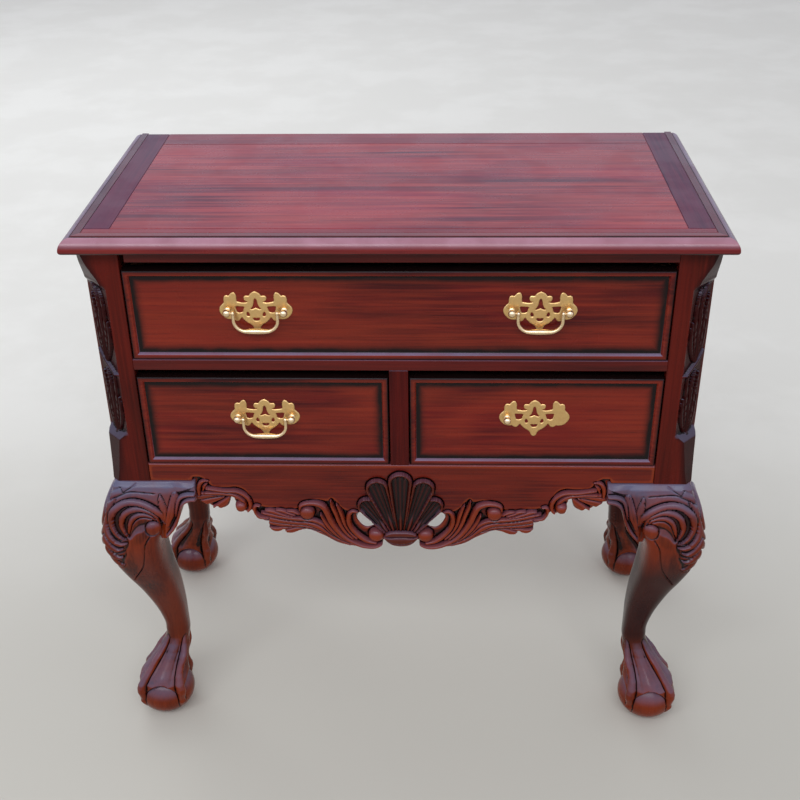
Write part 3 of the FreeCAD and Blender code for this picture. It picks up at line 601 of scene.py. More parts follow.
def lathe(profile: Pairs, centre: Sequence[float], axis: Axis, columns: int) -> Shape:
    """Turned shape.

    Args:
        profile: (along, radius) pairs from one end to the other; the ends have radius 0.
        centre: Point that the distances along start from.
        axis: Its direction.
        columns: Number of points round it.

    Returns:
        The closed shape.
    """
    run = np.asarray(profile, float)
    turn = np.linspace(0, 2 * math.pi, columns, endpoint=False)
    along = np.repeat(run[1:-1, 0], columns)
    first = (run[1:-1, 1][:, None] * np.cos(turn)).ravel()
    second = (run[1:-1, 1][:, None] * np.sin(turn)).ravel()
    points = np.roll(np.column_stack([along, first, second]), axis.value, axis=1)
    ends = np.zeros((2, 3))
    ends[:, axis.value] = run[0, 0], run[-1, 0]
    return Shape(np.vstack([points, ends]) + np.asarray(centre, float), pointed_faces(len(run) - 2, columns))


def tube(path: np.ndarray, radii: np.ndarray, across: Sequence[float], columns: int) -> Shape:
    """Round bar along a flat path.

    Args:
        path: Points of its middle line.
        radii: Radius at each point.
        across: Direction at right angles to the plane of the path.
        columns: Number of points round it.

    Returns:
        The closed bar.
    """
    normal = np.asarray(across, float)
    along = np.gradient(path, axis=0)
    along /= np.linalg.norm(along, axis=1)[:, None]
    out = np.cross(normal, along)
    turn = np.linspace(0, 2 * math.pi, columns, endpoint=False)
    ring = (np.cos(turn)[None, :, None] * out[:, None, :] + np.sin(turn)[None, :, None] * normal)
    points = (path[:, None, :] + radii[:, None, None] * ring).reshape(-1, 3)
    return Shape(points, capped_faces(len(path), columns))


def nested_front(rings: Sequence[tuple[float, float, float]], x0: float, x1: float, z0: float, z1: float,
                 back: float) -> Shape:
    """Board whose front is a series of nested rectangles.

    Args:
        rings: (inset, y, shade) of each rectangle from the outside in.
        x0: Left edge.
        x1: Right edge.
        z0: Lower edge.
        z1: Upper edge.
        back: y of the back.

    Returns:
        The board, with the shade of each point as its hollow trace.
    """
    levels = [(rings[0][0], back, rings[0][2])] + list(rings)
    points, shades = [], []
    for inset, y, shade in levels:
        points += [(x0 + inset, y, z0 + inset), (x1 - inset, y, z0 + inset),
                   (x1 - inset, y, z1 - inset), (x0 + inset, y, z1 - inset)]
        shades += [shade] * 4
    return Shape(np.array(points), capped_faces(len(levels), 4), {Trace.HOLLOW: np.array(shades)})


# Rounds of smoothing that stand for the surroundings, with the depth in mm below them that counts
# as fully hollow; the two findings are added at this weight.
SURROUNDINGS = ((6, 0.34), (45, 1.2))
HOLLOW_WEIGHT = 0.6


def trace_hollows(mesh: bpy.types.Mesh) -> None:
    """Writes the hollow trace of a carved mesh; mahogany turns it into glaze with painted shade in
    the hollows and wear with a painted highlight on the crests.

    Args:
        mesh: The mesh, with points about a millimetre apart.
    """
    count = len(mesh.vertices)
    spots = np.empty(count * 3)
    mesh.vertices.foreach_get("co", spots)
    spots = spots.reshape(-1, 3) / MM
    normals = np.empty(count * 3)
    mesh.vertex_normals.foreach_get("vector", normals)
    normals = normals.reshape(-1, 3)
    ends = np.empty(len(mesh.edges) * 2, np.int32)
    mesh.edges.foreach_get("vertices", ends)
    a, b = ends.reshape(-1, 2).T
    links = np.maximum(np.bincount(ends, minlength=count), 1)
    soft = spots.copy()
    lift = np.zeros(count)
    done = 0
    for steps, depth in SURROUNDINGS:
        for _ in range(steps - done):
            near = np.stack([np.bincount(a, soft[b, k], count) + np.bincount(b, soft[a, k], count)
                             for k in range(3)], 1)
            soft = 0.5 * soft + 0.5 * near / links[:, None]
        done = steps
        lift += np.clip(((soft - spots) * normals).sum(1) / depth, -1, 1)
    write_trace(mesh, Trace.HOLLOW, np.clip(lift * HOLLOW_WEIGHT, -1, 1))


def write_trace(mesh: bpy.types.Mesh, trace: Trace, values: np.ndarray) -> None:
    """Stores a trace where the materials read it."""
    layer = mesh.attributes.new(trace.value, "FLOAT", "POINT")
    layer.data.foreach_set("value", values.astype(np.float32))


def show(name: str, mesh: bpy.types.Mesh, finish: "Finish") -> bpy.types.Object:
    """Puts a mesh into the scene.

    Args:
        name: Name of its object.
        mesh: The mesh.
        finish: Its finish.

    Returns:
        The object.
    """
    thing = bpy.data.objects.new(name, mesh)
    bpy.context.scene.collection.objects.link(thing)
    mesh.materials.append(finish.material())
    return thing


def set_piece(name: str, mesh: bpy.types.Mesh, finish: "Finish", body: str,
              stands_for: Sequence[str]) -> None:
    """Shows a finished mesh as a piece of the lowboy.

    Args:
        name: Name of the piece.
        mesh: Its mesh.
        finish: Finish that it wears.
        body: CAD body that it rides on.
        stands_for: CAD nodes that it replaces.
    """
    piece = show(name, mesh, finish)
    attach(piece, body)
    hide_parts(*stands_for)
    LOG.info("%s: %d faces on %s", name, len(mesh.polygons), body)


# Angle in degrees above which an edge stays sharp, where a piece needs no angle of its own.
SHARP = 40.0


def make_piece(name: str, shape: Shape, finish: "Finish", body: str, stands_for: Sequence[str],
               sharp: float = SHARP, carved: bool = False) -> None:
    """Piece from a shape, dressed and riding on its body.

    Args:
        name: Name of the piece.
        shape: Its vertices and faces.
        finish: Finish that it wears.
        body: CAD body that it rides on.
        stands_for: CAD nodes that it replaces.
        sharp: Angle in degrees above which an edge stays sharp.
        carved: Whether its hollows are traced from its own shape.
    """
    mesh = bpy.data.meshes.new(name)
    mesh.from_pydata((shape.points * MM).tolist(), [], shape.faces)
    mesh.validate()
    mesh.shade_smooth()
    mesh.set_sharp_from_angle(angle=math.radians(sharp))
    if carved:
        trace_hollows(mesh)
    for trace, values in shape.traces.items():
        write_trace(mesh, trace, values)
    set_piece(name, mesh, finish, body, stands_for)


# --- finishes -------------------------------------------------------------------------------


Tone = tuple[int, int, int]


def tone(*paint: int) -> tuple[float, ...]:
    """Scene colour, with its alpha, of a paint sample given as three numbers from 0 to 255."""
    shares = [value / 255 for value in paint]
    return (*(v / 12.92 if v <= 0.04045 else ((v + 0.055) / 1.055) ** 2.4 for v in shares), 1.0)


class Grain(Enum):
    """Direction that the grain of a board runs in."""

    ACROSS = ("X", "Y", "Z")
    DEEP = ("Y", "X", "Z")
    UPRIGHT = ("Z", "X", "Y")


class Sketch:
    """Short-hand for making and joining the nodes of one tree."""

    def __init__(self, tree: bpy.types.NodeTree) -> None:
        """Sketch on a tree whose nodes are made one after the other."""
        self.tree = tree

    def put(self, socket: bpy.types.NodeSocket, value: object) -> None:
        """Joins a socket to an output or gives it a plain value.

        Args:
            socket: The input.
            value: The output or the value.
        """
        if isinstance(value, bpy.types.NodeSocket):
            self.tree.links.new(value, socket)
        else:
            socket.default_value = value

    def node(self, kind: str, *values: object, out: str | int = 0, settings: dict | None = None,
             **inputs: object) -> bpy.types.NodeSocket:
        """Adds a node.

        Args:
            kind: Node type without its ShaderNode prefix.
            *values: Values or outputs for its first inputs, in order.
            out: Output to return.
            settings: Properties of the node itself.
            **inputs: Values or outputs for inputs by name; an underscore stands for a space.

        Returns:
            The chosen output.
        """
        made = self.tree.nodes.new("ShaderNode" + kind)
        for key, value in (settings or {}).items():
            setattr(made, key, value)
        for index, value in enumerate(values):
            self.put(made.inputs[index], value)
        for key, value in inputs.items():
            self.put(made.inputs[key.replace("_", " ")], value)
        return made.outputs[out]

    def math(self, operation: str, first: object, second: object) -> bpy.types.NodeSocket:
        """Arithmetic on two values."""
        return self.node("Math", first, second, settings={"operation": operation})

    def between(self, value: object, low: float, high: float, to_low: float = 0.0,
                to_high: float = 1.0) -> bpy.types.NodeSocket:
        """Value carried smoothly from one range to another."""
        return self.node("MapRange", value, low, high, to_low, to_high,
                         settings={"interpolation_type": "SMOOTHSTEP"})

    def noise(self, place: object, scale: object, detail: float, **inputs: object) -> bpy.types.NodeSocket:
        """Cloudy noise from 0 to 1."""
        return self.node("TexNoise", out="Fac", Vector=place, Scale=scale, Detail=detail, **inputs)

    def trace(self, trace: Trace) -> bpy.types.NodeSocket:
        """Value of one trace on the surface."""
        return self.node("Attribute", out="Fac", settings={"attribute_name": trace.value})

    def part(self, vector: object, axis: str) -> bpy.types.NodeSocket:
        """One part of a vector."""
        return self.node("SeparateXYZ", vector, out=axis)

    def place(self) -> bpy.types.NodeSocket:
        """Place on the object, in metres."""
        return self.node("TexCoord", out="Object")

    def along(self, grain: Grain) -> bpy.types.NodeSocket:
        """Place on the object with its first axis along the grain."""
        return self.node("CombineXYZ", *(self.part(self.place(), axis) for axis in grain.value))

    def bump(self, strength: float, distance: float, height: object) -> bpy.types.NodeSocket:
        """Normal of a fine texture."""
        return self.node("Bump", Strength=strength, Distance=distance, Height=height)

    def blend(self, share: object, first: object, second: object) -> bpy.types.NodeSocket:
        """Mixes two colours.

        Args:
            share: How much of the second colour shows.
            first: The first colour.
            second: The second colour.

        Returns:
            The mixed colour.
        """
        made = self.tree.nodes.new("ShaderNodeMix")
        made.data_type = "RGBA"
        for name, value in (("Factor", share), ("A", first), ("B", second)):
            self.put(made.inputs[name], value)
        return made.outputs["Result"]

    def effect(self, group: bpy.types.NodeTree, **inputs: object) -> bpy.types.NodeOutputs:
        """Places a shared effect with its own values.

        Args:
            group: The effect.
            **inputs: Values or outputs for its inputs; an underscore stands for a space.

        Returns:
            Its outputs.
        """
        made = self.tree.nodes.new("ShaderNodeGroup")
        made.node_tree = group
        for key, value in inputs.items():
            self.put(made.inputs[key.replace("_", " ")], value)
        return made.outputs


def new_effect(name: str, inputs: dict[str, float], outputs: Sequence[str]
               ) -> tuple[bpy.types.NodeTree, Sketch, bpy.types.NodeOutputs, bpy.types.NodeInputs]:
    """Empty node group with a vector input called Place and named float sockets.

    Args:
        name: Name of the effect.
        inputs: Default of each float input.
        outputs: Names of the float outputs.

    Returns:
        The group, its sketch, the sockets that it is given and the sockets that it gives.
    """
    group = bpy.data.node_groups.new(name, "ShaderNodeTree")
    group.interface.new_socket("Place", in_out="INPUT", socket_type="NodeSocketVector")
    for label, default in inputs.items():
        socket = group.interface.new_socket(label, in_out="INPUT", socket_type="NodeSocketFloat")
        socket.default_value = default
    for label in outputs:
        group.interface.new_socket(label, in_out="OUTPUT", socket_type="NodeSocketFloat")
    given = group.nodes.new("NodeGroupInput")
    gives = group.nodes.new("NodeGroupOutput")
    return group, Sketch(group), given.outputs, gives.inputs


class Effects:
    """The shared effects, each built when a finish first asks for it."""

    @staticmethod
    @cache
    def figure() -> bpy.types.NodeTree:
        """Figure of mahogany: broad bands, fine fibres and pores along the grain.

        Returns:
            The effect.
        """
        group, s, given, gives = new_effect(
            "mahogany_figure", {"Band Size": 0.03, "Seed": 0.0},
            ("Bands", "Fibres", "Pores", "Streaks", "Glow"))
        spread = s.math("DIVIDE", 1.0, given["Band Size"])
        # for each output: stretch along and across the grain, detail, twist, and the range kept
        for output, length, across, detail, twist, low, high in (
                ("Bands", 0.16, 1.0, 3.0, 0.5, 0.3, 0.7), ("Fibres", 0.22, 9.0, 4.0, 0.25, 0.35, 0.68),
                ("Pores", 1.3, 38.0, 1.0, 0.0, 0.62, 0.75), ("Streaks", 0.06, 1.5, 4.0, 0.35, 0.54, 0.76),
                ("Glow", 0.12, 0.3, 1.0, 0.8, 0.36, 0.64)):
            drawn_out = s.node("VectorMath", given["Place"], (length, across, across),
                               settings={"operation": "MULTIPLY"})
            cloud = s.node("TexNoise", out="Fac", settings={"noise_dimensions": "4D"}, Vector=drawn_out,
                           W=given["Seed"], Scale=spread, Detail=detail, Roughness=0.55, Distortion=twist)
            s.put(gives[output], s.between(cloud, low, high))
        return group

    @staticmethod
    @cache
    def glaze() -> bpy.types.NodeTree:
        """Dark glaze with painted shade in hollows, and polish worn bright with a painted highlight on
        crests.

        Returns:
            The effect.
        """
        group, s, given, gives = new_effect(
            "glaze_and_wear", {"Hollow": 0.0, "Glaze": 0.8, "Wear": 0.5}, ("Glazed", "Worn"))
        uneven = s.between(s.noise(given["Place"], 38.0, 3.0), 0.25, 0.75, 0.82, 1.1)
        deep = s.between(given["Hollow"], 0.19, 0.58)
        crest = s.between(given["Hollow"], -0.08, -0.55)
        s.put(gives["Glazed"], s.math("MULTIPLY", s.math("MULTIPLY", deep, given["Glaze"]), uneven))
        s.put(gives["Worn"], s.math("MULTIPLY", s.math("MULTIPLY", crest, given["Wear"]), uneven))
        return group

    @staticmethod
    @cache
    def smears() -> bpy.types.NodeTree:
        """Faint handling marks and dust that change how a surface shines.

        Returns:
            The effect.
        """
        group, s, given, gives = new_effect("smears", {"Size": 0.05}, ("Smear", "Speck"))
        cloud = s.noise(given["Place"], s.math("DIVIDE", 1.0, given["Size"]), 5.0, Roughness=0.6)
        s.put(gives["Smear"], s.between(cloud, 0.35, 0.7))
        s.put(gives["Speck"], s.between(s.noise(given["Place"], 420.0, 1.0), 0.7, 0.8))
        return group

    @staticmethod
    @cache
    def dust() -> bpy.types.NodeTree:
        """Painted sheen: a bluish reflection of the sky, painted on surfaces that face upwards.

        Returns:
            The effect.
        """
        group, s, given, gives = new_effect("dust", {"Amount": 0.3, "Bloom": 0.0}, ("Dust",))
        upward = s.between(s.part(s.node("NewGeometry", out="Normal"), "Z"), 0.14, 0.72)
        uneven = s.between(s.noise(given["Place"], 22.0, 4.0), 0.3, 0.7, 0.7, 1.0)
        lying = s.math("ADD", s.math("MULTIPLY", upward, given["Amount"]), given["Bloom"])
        s.put(gives["Dust"], s.math("MULTIPLY", s.math("MINIMUM", lying, 1.0), uneven))
        return group


class Finish:
    """Something that can dress a piece."""

    name: str

    @cache
    def material(self) -> bpy.types.Material:
        """The finish's material, built once.

        Returns:
            The material.
        """
        made = bpy.data.materials.new(self.name)
        made.use_nodes = True
        made.node_tree.nodes.clear()
        s = Sketch(made.node_tree)
        output = made.node_tree.nodes.new("ShaderNodeOutputMaterial")
        s.put(output.inputs["Surface"], self.draw(s))
        return made

    def draw(self, s: Sketch) -> bpy.types.NodeSocket:
        """Builds the node tree and returns its shader."""
        raise NotImplementedError


# How much of the dark glaze stays in the pores of mahogany.
PORE_SHARE = 0.4


@dataclass(frozen=True)
class Mahogany(Finish):
    """Stained and lacquered mahogany.

    Band size is in metres and the seed picks the figure. From glaze to the painted sheen each number
    is the share at which that layer shows over the body; the glaze also holds painted shade in the
    hollows and the wear a painted highlight on the crests. Shine and index set how strongly it
    reflects.
    """

    name: str
    grain: Grain
    body_tone: Tone
    light_tone: Tone
    dark_tone: Tone
    glaze_and_shade_tone: Tone = (20, 9, 9)
    worn_highlight_tone: Tone = (138, 50, 24)
    shade_tone: Tone = (30, 7, 10)
    band_size: float = 0.03
    seed: float = 0.0
    glaze: float = 0.95
    wear: float = 0.5
    fibre: float = 0.55
    streak: float = 0.5
    glow: float = 0.35
    dust: float = 0.3
    sheen_tone: Tone = (124, 116, 146)
    roughness: float = 0.31
    shine: float = 0.22
    index: float = 1.5

    def draw(self, s: Sketch) -> bpy.types.NodeSocket:
        """Figure, glaze and lacquer, then what the years left, with painted shade, highlight and sheen.

        Args:
            s: Sketch of the material.

        Returns:
            The shader.
        """
        place = s.place()
        figure = s.effect(
            Effects.figure(), Place=s.along(self.grain), Band_Size=self.band_size, Seed=self.seed)
        colour = s.blend(figure["Bands"], tone(*self.dark_tone), tone(*self.body_tone))
        for output, share, paint in (
                ("Glow", self.glow, self.light_tone), ("Fibres", self.fibre, self.light_tone),
                ("Streaks", self.streak, self.dark_tone), ("Pores", PORE_SHARE, self.glaze_and_shade_tone)):
            colour = s.blend(s.math("MULTIPLY", figure[output], share), colour, tone(*paint))
        hollow = s.math("SUBTRACT", s.trace(Trace.HOLLOW), s.trace(Trace.RUBBED))
        hollow_and_crest = s.effect(Effects.glaze(), Hollow=hollow, Place=place, Glaze=self.glaze, Wear=self.wear)
        dust = s.effect(Effects.dust(), Place=place, Amount=self.dust, Bloom=s.trace(Trace.BLOOM))["Dust"]
        # painted highlight with the wear on crests, painted shade, painted sheen on upward faces, then glaze
        # with painted shade in hollows
        for share, paint in ((hollow_and_crest["Worn"], self.worn_highlight_tone), (s.trace(Trace.STAIN), self.shade_tone),
                             (dust, self.sheen_tone), (hollow_and_crest["Glazed"], self.glaze_and_shade_tone)):
            colour = s.blend(share, colour, tone(*paint))
        smear = s.effect(Effects.smears(), Place=place, Size=0.07)["Smear"]
        relief = s.math("SUBTRACT", s.math("MULTIPLY", figure["Fibres"], 0.4), figure["Pores"])
        return s.node("BsdfPrincipled", Base_Color=colour, IOR=self.index, Specular_IOR_Level=self.shine,
                      Roughness=s.between(smear, 0.0, 1.0, self.roughness - 0.04, self.roughness + 0.06),
                      Normal=s.bump(0.15, 0.0001, relief))


@dataclass(frozen=True)
class BareWood(Finish):
    """Unfinished timber of the drawer boxes, runners and blocks."""

    name: str
    grain: Grain
    body_tone: Tone = (176, 136, 92)
    dark_tone: Tone = (138, 98, 60)

    def draw(self, s: Sketch) -> bpy.types.NodeSocket:
        """Pale grain with a dry surface.

        Args:
            s: Sketch of the material.

        Returns:
            The shader.
        """
        figure = s.effect(Effects.figure(), Place=s.along(self.grain), Band_Size=0.045, Seed=3.0)
        colour = s.blend(figure["Bands"], tone(*self.dark_tone), tone(*self.body_tone))
        colour = s.blend(s.math("MULTIPLY", figure["Fibres"], 0.3), colour, tone(*self.dark_tone))
        smear = s.effect(Effects.smears(), Place=s.place(), Size=0.12)["Smear"]
        return s.node("BsdfPrincipled", Base_Color=colour, Roughness=s.between(smear, 0.0, 1.0, 0.62, 0.8),
                      Normal=s.bump(0.3, 0.0004, figure["Fibres"]))


@dataclass(frozen=True)
class Brass(Finish):
    """Brass of the handles, dulled in its hollows."""

    name: str
    bright_tone: Tone
    dull_tone: Tone
    roughness: float = 0.32

    def draw(self, s: Sketch) -> bpy.types.NodeSocket:
        """Polish, tarnish and a cast texture.

        Args:
            s: Sketch of the material.

        Returns:
            The shader.
        """
        place = s.place()
        smears = s.effect(Effects.smears(), Place=place, Size=0.012)
        hollow_and_crest = s.effect(Effects.glaze(), Hollow=s.trace(Trace.HOLLOW), Place=place, Glaze=0.7, Wear=0.5)
        dull = s.math("MAXIMUM", hollow_and_crest["Glazed"], s.math("MULTIPLY", smears["Smear"], 0.35))
        colour = s.blend(dull, tone(*self.bright_tone), tone(*self.dull_tone))
        roughness = s.between(smears["Smear"], 0.0, 1.0, self.roughness - 0.06, self.roughness + 0.12)
        return s.node("BsdfPrincipled", Base_Color=colour, Roughness=roughness, Metallic=1.0,
                      Normal=s.bump(0.2, 0.0002, smears["Speck"]))


@dataclass(frozen=True)
class Floor(Finish):
    """Pale floor."""

    name: str
    pale_tone: Tone = (247, 246, 242)
    grey_tone: Tone = (205, 202, 194)

    def draw(self, s: Sketch) -> bpy.types.NodeSocket:
        """Matt surface with painted light that makes it paler towards the back, and a little uneven.

        Args:
            s: Sketch of the material.

        Returns:
            The shader.
        """
        smear = s.effect(Effects.smears(), Place=s.place(), Size=0.4)["Smear"]
        # painted light: the floor is painted paler towards the back
        back = s.between(s.part(s.place(), "Y"), -0.3, 1.1)
        share = s.math("MULTIPLY", s.between(smear, 0.0, 1.0, 0.85, 1.0), back)
        colour = s.blend(share, tone(*self.grey_tone), tone(*self.pale_tone))
        return s.node("BsdfPrincipled", Base_Color=colour, Roughness=0.85)


TOP_WOOD = Mahogany(
    "top_mahogany", Grain.ACROSS, (128, 26, 52), (176, 72, 68), (70, 6, 36), band_size=0.045, seed=1.3,
    fibre=0.7, streak=0.8, roughness=0.3, shine=0.25, index=1.36, dust=0.0)
TOP_RAIL_WOOD = Mahogany(
    "top_rail_mahogany", Grain.ACROSS, (124, 28, 46), (152, 58, 60), (84, 14, 34), band_size=0.04, seed=5.1,
    roughness=0.3, shine=0.27, index=1.38, dust=0.0)
STILE_WOOD = Mahogany(
    "stile_mahogany", Grain.DEEP, (84, 22, 54), (104, 38, 60), (56, 14, 42), seed=2.2, streak=0.4,
    roughness=0.36, shine=0.34, index=1.28, dust=0.0)
MOULDING_WOOD = Mahogany(
    "moulding_mahogany", Grain.ACROSS, (104, 18, 24), (132, 38, 32), (80, 12, 18), seed=4.0, roughness=0.22,
    shine=0.34, dust=0.88, sheen_tone=(182, 134, 152))
SIDE_MOULDING_WOOD = Mahogany(
    "side_moulding_mahogany", Grain.DEEP, (70, 13, 26), (98, 28, 36), (50, 10, 22), seed=4.4, roughness=0.26,
    dust=0.4, sheen_tone=(128, 104, 130))
DRAWER_WOOD = Mahogany(
    "drawer_mahogany", Grain.ACROSS, (102, 18, 19), (142, 48, 28), (58, 9, 13), band_size=0.036, seed=6.0,
    glaze=1.4, fibre=0.5, streak=0.65, glow=0.45, roughness=0.3, shine=0.2, dust=0.8)
RAIL_WOOD = Mahogany("rail_mahogany", Grain.ACROSS, (78, 13, 12), (102, 25, 18), (56, 10, 9), seed=7.0)
POST_WOOD = Mahogany(
    "post_mahogany", Grain.UPRIGHT, (72, 12, 12), (96, 24, 18), (46, 8, 9), seed=8.0, wear=0.1, glaze=1.2,
    roughness=0.25, shine=0.18, index=1.38, dust=0.5, sheen_tone=(104, 104, 130))
PANEL_WOOD = Mahogany(
    "panel_mahogany", Grain.UPRIGHT, (72, 14, 13), (94, 26, 20), (52, 10, 10), band_size=0.05, seed=9.0)
APRON_WOOD = Mahogany(
    "apron_mahogany", Grain.ACROSS, (82, 12, 13), (124, 38, 19), (52, 8, 9), band_size=0.024, seed=10.0,
    worn_highlight_tone=(152, 62, 24), wear=0.45, glaze=1.15, glow=0.4, roughness=0.24, dust=0.36,
    sheen_tone=(104, 92, 118))
LEG_WOOD = Mahogany(
    "leg_mahogany", Grain.UPRIGHT, (56, 9, 9), (140, 54, 18), (34, 7, 8), seed=11.0, wear=0.35, streak=0.35,
    glow=0.5, fibre=0.3, roughness=0.22, shine=0.18, dust=0.56, sheen_tone=(98, 96, 122))
DRAWER_BOX_WOOD = BareWood("drawer_box_wood", Grain.DEEP)
BACK_WOOD = BareWood("back_board_wood", Grain.ACROSS, (112, 66, 46), (86, 48, 34))
PLATE_BRASS = Brass("plate_brass", (222, 184, 122), (176, 134, 84), 0.42)
BAIL_BRASS = Brass("bail_brass", (238, 212, 170), (194, 158, 112), 0.28)


# --- top ------------------------------------------------------------------------------------


@dataclass
class Top:
    """Framed top with its moulding on three sides."""

    half: float = 435.0
    front: float = -227.4
    back: float = 207.0
    thickness: float = 21.0
    moulding: float = 25.0
    tail: float = 4.0

    def profile(self) -> list[tuple[float, float]]:
        """Section of the moulding.

        Returns:
            (outward, up) pairs from the lower inner corner round.
        """
        flat = [(0.0, 0.0), (0.0, self.thickness), (9.8, self.thickness), (10.6, 18.6), (11.6, 18.9)]
        turns = [math.radians(90 * step / 8) for step in range(9)]
        ovolo = [(12.0 + 13.0 * math.sin(turn), 4.4 + 15.0 * math.cos(turn)) for turn in turns]
        return flat + ovolo + [(24.8, 3.0), (24.2, 1.6), (22.6, 0.0)]

    def run(self, corners: Sequence[tuple[float, float, float, float]]) -> Shape:
        """Moulding between two mitred ends.

        Args:
            corners: For each end the (x, y) of the inner edge and the (x, y) step for 1 mm outward.

        Returns:
            The closed moulding.
        """
        section = self.profile()
        points = [(x + dx * out, y + dy * out, CASE_TOP + up)
                  for x, y, dx, dy in corners for out, up in section]
        # painted shade: dark in the quirk and on the underside of the ovolo
        shades = [0.0, 0.0, 0.1, 1.0, 0.9] + [0.0] * 9 + [0.2, 0.5, 0.6]
        # no painted sheen on the moulding's flat top, and less at the quirk
        bloom = [-1.0, -1.0, -1.0, -0.5] + [0.0] * (len(section) - 4)
        return Shape(np.array(points), capped_faces(2, len(section)),
                     {Trace.HOLLOW: np.array(shades * 2), Trace.BLOOM: np.array(bloom * 2)})

    def build(self) -> None:
        """Boards keep their CAD shape; the mouldings are drawn with a finer section."""
        inner, edge = self.half - self.moulding, self.front + self.moulding
        front = self.run([(inner, edge, 1, -1), (-inner, edge, -1, -1)])
        side = self.run([(-inner, edge, -1, -1), (-inner, self.back + self.tail, -1, 0)])
        for word, shape, finish in (("front", front, MOULDING_WOOD), ("left", side, SIDE_MOULDING_WOOD),
                                    ("right", side.mirrored(), SIDE_MOULDING_WOOD)):
            make_piece(word + "_moulding", shape, finish, "case", ["moulding_" + word],
                       sharp=25)
        dress(STILE_WOOD, "top_stile_left", "top_stile_right")
        dress(TOP_RAIL_WOOD, "top_back_rail", "top_front_strip")
        dress(TOP_WOOD, "top_field")


def dress(finish: Finish, *nodes: str) -> None:
    """Gives a finish to CAD nodes that keep their shape.

    Args:
        finish: The finish.
        *nodes: Names of the nodes.
    """
    for node in nodes:
        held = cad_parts[node]
        for slot in held.material_slots:
            slot.material = finish.material()
        if not held.material_slots:
            held.data.materials.append(finish.material())
        LOG.info("%s wears %s", node, finish.name)


# --- case -----------------------------------------------------------------------------------


@dataclass
class SoftenedBoard:
    """A board of the case with its arrises taken off.

    Angles are in radians: faces that meet at less than flat are one face, and edges sharper than
    corner are rounded.
    """

    name: str
    node: str
    finish: Finish
    radius: float = 1.0
    flat: float = 0.02
    corner: float = 0.6

    def build(self) -> None:
        """Copies the CAD board and bevels its edges."""
        work = bmesh.new()
        work.from_mesh(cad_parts[self.node].data)
        bmesh.ops.remove_doubles(work, verts=work.verts, dist=1e-6)
        bmesh.ops.dissolve_limit(work, angle_limit=self.flat, verts=work.verts, edges=work.edges)
        edges = [e for e in work.edges if len(e.link_faces) == 2 and e.calc_face_angle(0) > self.corner]
        bmesh.ops.bevel(work, geom=edges, offset=self.radius * MM, offset_type="OFFSET", segments=3,
                        profile=0.5, affect="EDGES", clamp_overlap=True)
        bmesh.ops.triangulate(work, faces=[f for f in work.faces if len(f.verts) > 4])
        mesh = bpy.data.meshes.new(self.name)
        work.to_mesh(mesh)
        work.free()
        mesh.shade_smooth()
        mesh.set_sharp_from_angle(angle=math.radians(SHARP))
        set_piece(self.name, mesh, self.finish, "case", [self.node])


# Leaves of the cant, as (across, up) from its lower end: the lower spray, the upper one and the band.
POST_LEAVES = (
    Rib(((-5, 6, 2), (-12, 24, 3), (-15, 44, 2.8), (-15, 62, 1)), 3.2),
    Rib(((6, 6, 2), (13, 24, 3), (15, 42, 2.8), (15, 60, 1)), 3.2),
    Rib(((-3, 6, 2), (-7, 34, 3.4), (-10, 66, 3.4), (-11, 90, 1.6), (-10, 102, 1)), 3.8, vein=0.8),
    Rib(((4, 6, 2), (8, 34, 3.4), (10, 62, 3.4), (13, 84, 2), (14, 96, 1)), 3.8, vein=0.8),
    Rib(((0, 4, 3), (0, 34, 4), (-1, 68, 4.4), (2, 92, 3), (5, 104, 1)), 4.6, vein=1.2),
    Rib(((-5, 122, 2), (-12, 140, 3), (-15, 160, 2.8), (-15, 180, 1)), 3.2),
    Rib(((6, 124, 2), (13, 142, 3), (15, 160, 2.8), (15, 178, 1)), 3.2),
    Rib(((-3, 120, 2), (-7, 150, 3.4), (-10, 184, 3.4), (-9, 212, 2.4), (-4, 228, 1)), 3.8, vein=0.8),
    Rib(((4, 122, 2), (8, 150, 3.4), (10, 178, 3.4), (13, 202, 2.2), (15, 216, 1)), 3.8, vein=0.8),
    Rib(((0, 118, 3), (0, 150, 4), (-1, 186, 4.4), (2, 214, 3.6), (8, 232, 1.4)), 4.6, vein=1.2),
    Rib(((-18, 100, 2), (-8, 106, 3.6), (3, 113, 4), (12, 122, 3), (17, 130, 1.4)), 4.8, lean=0.8),
)


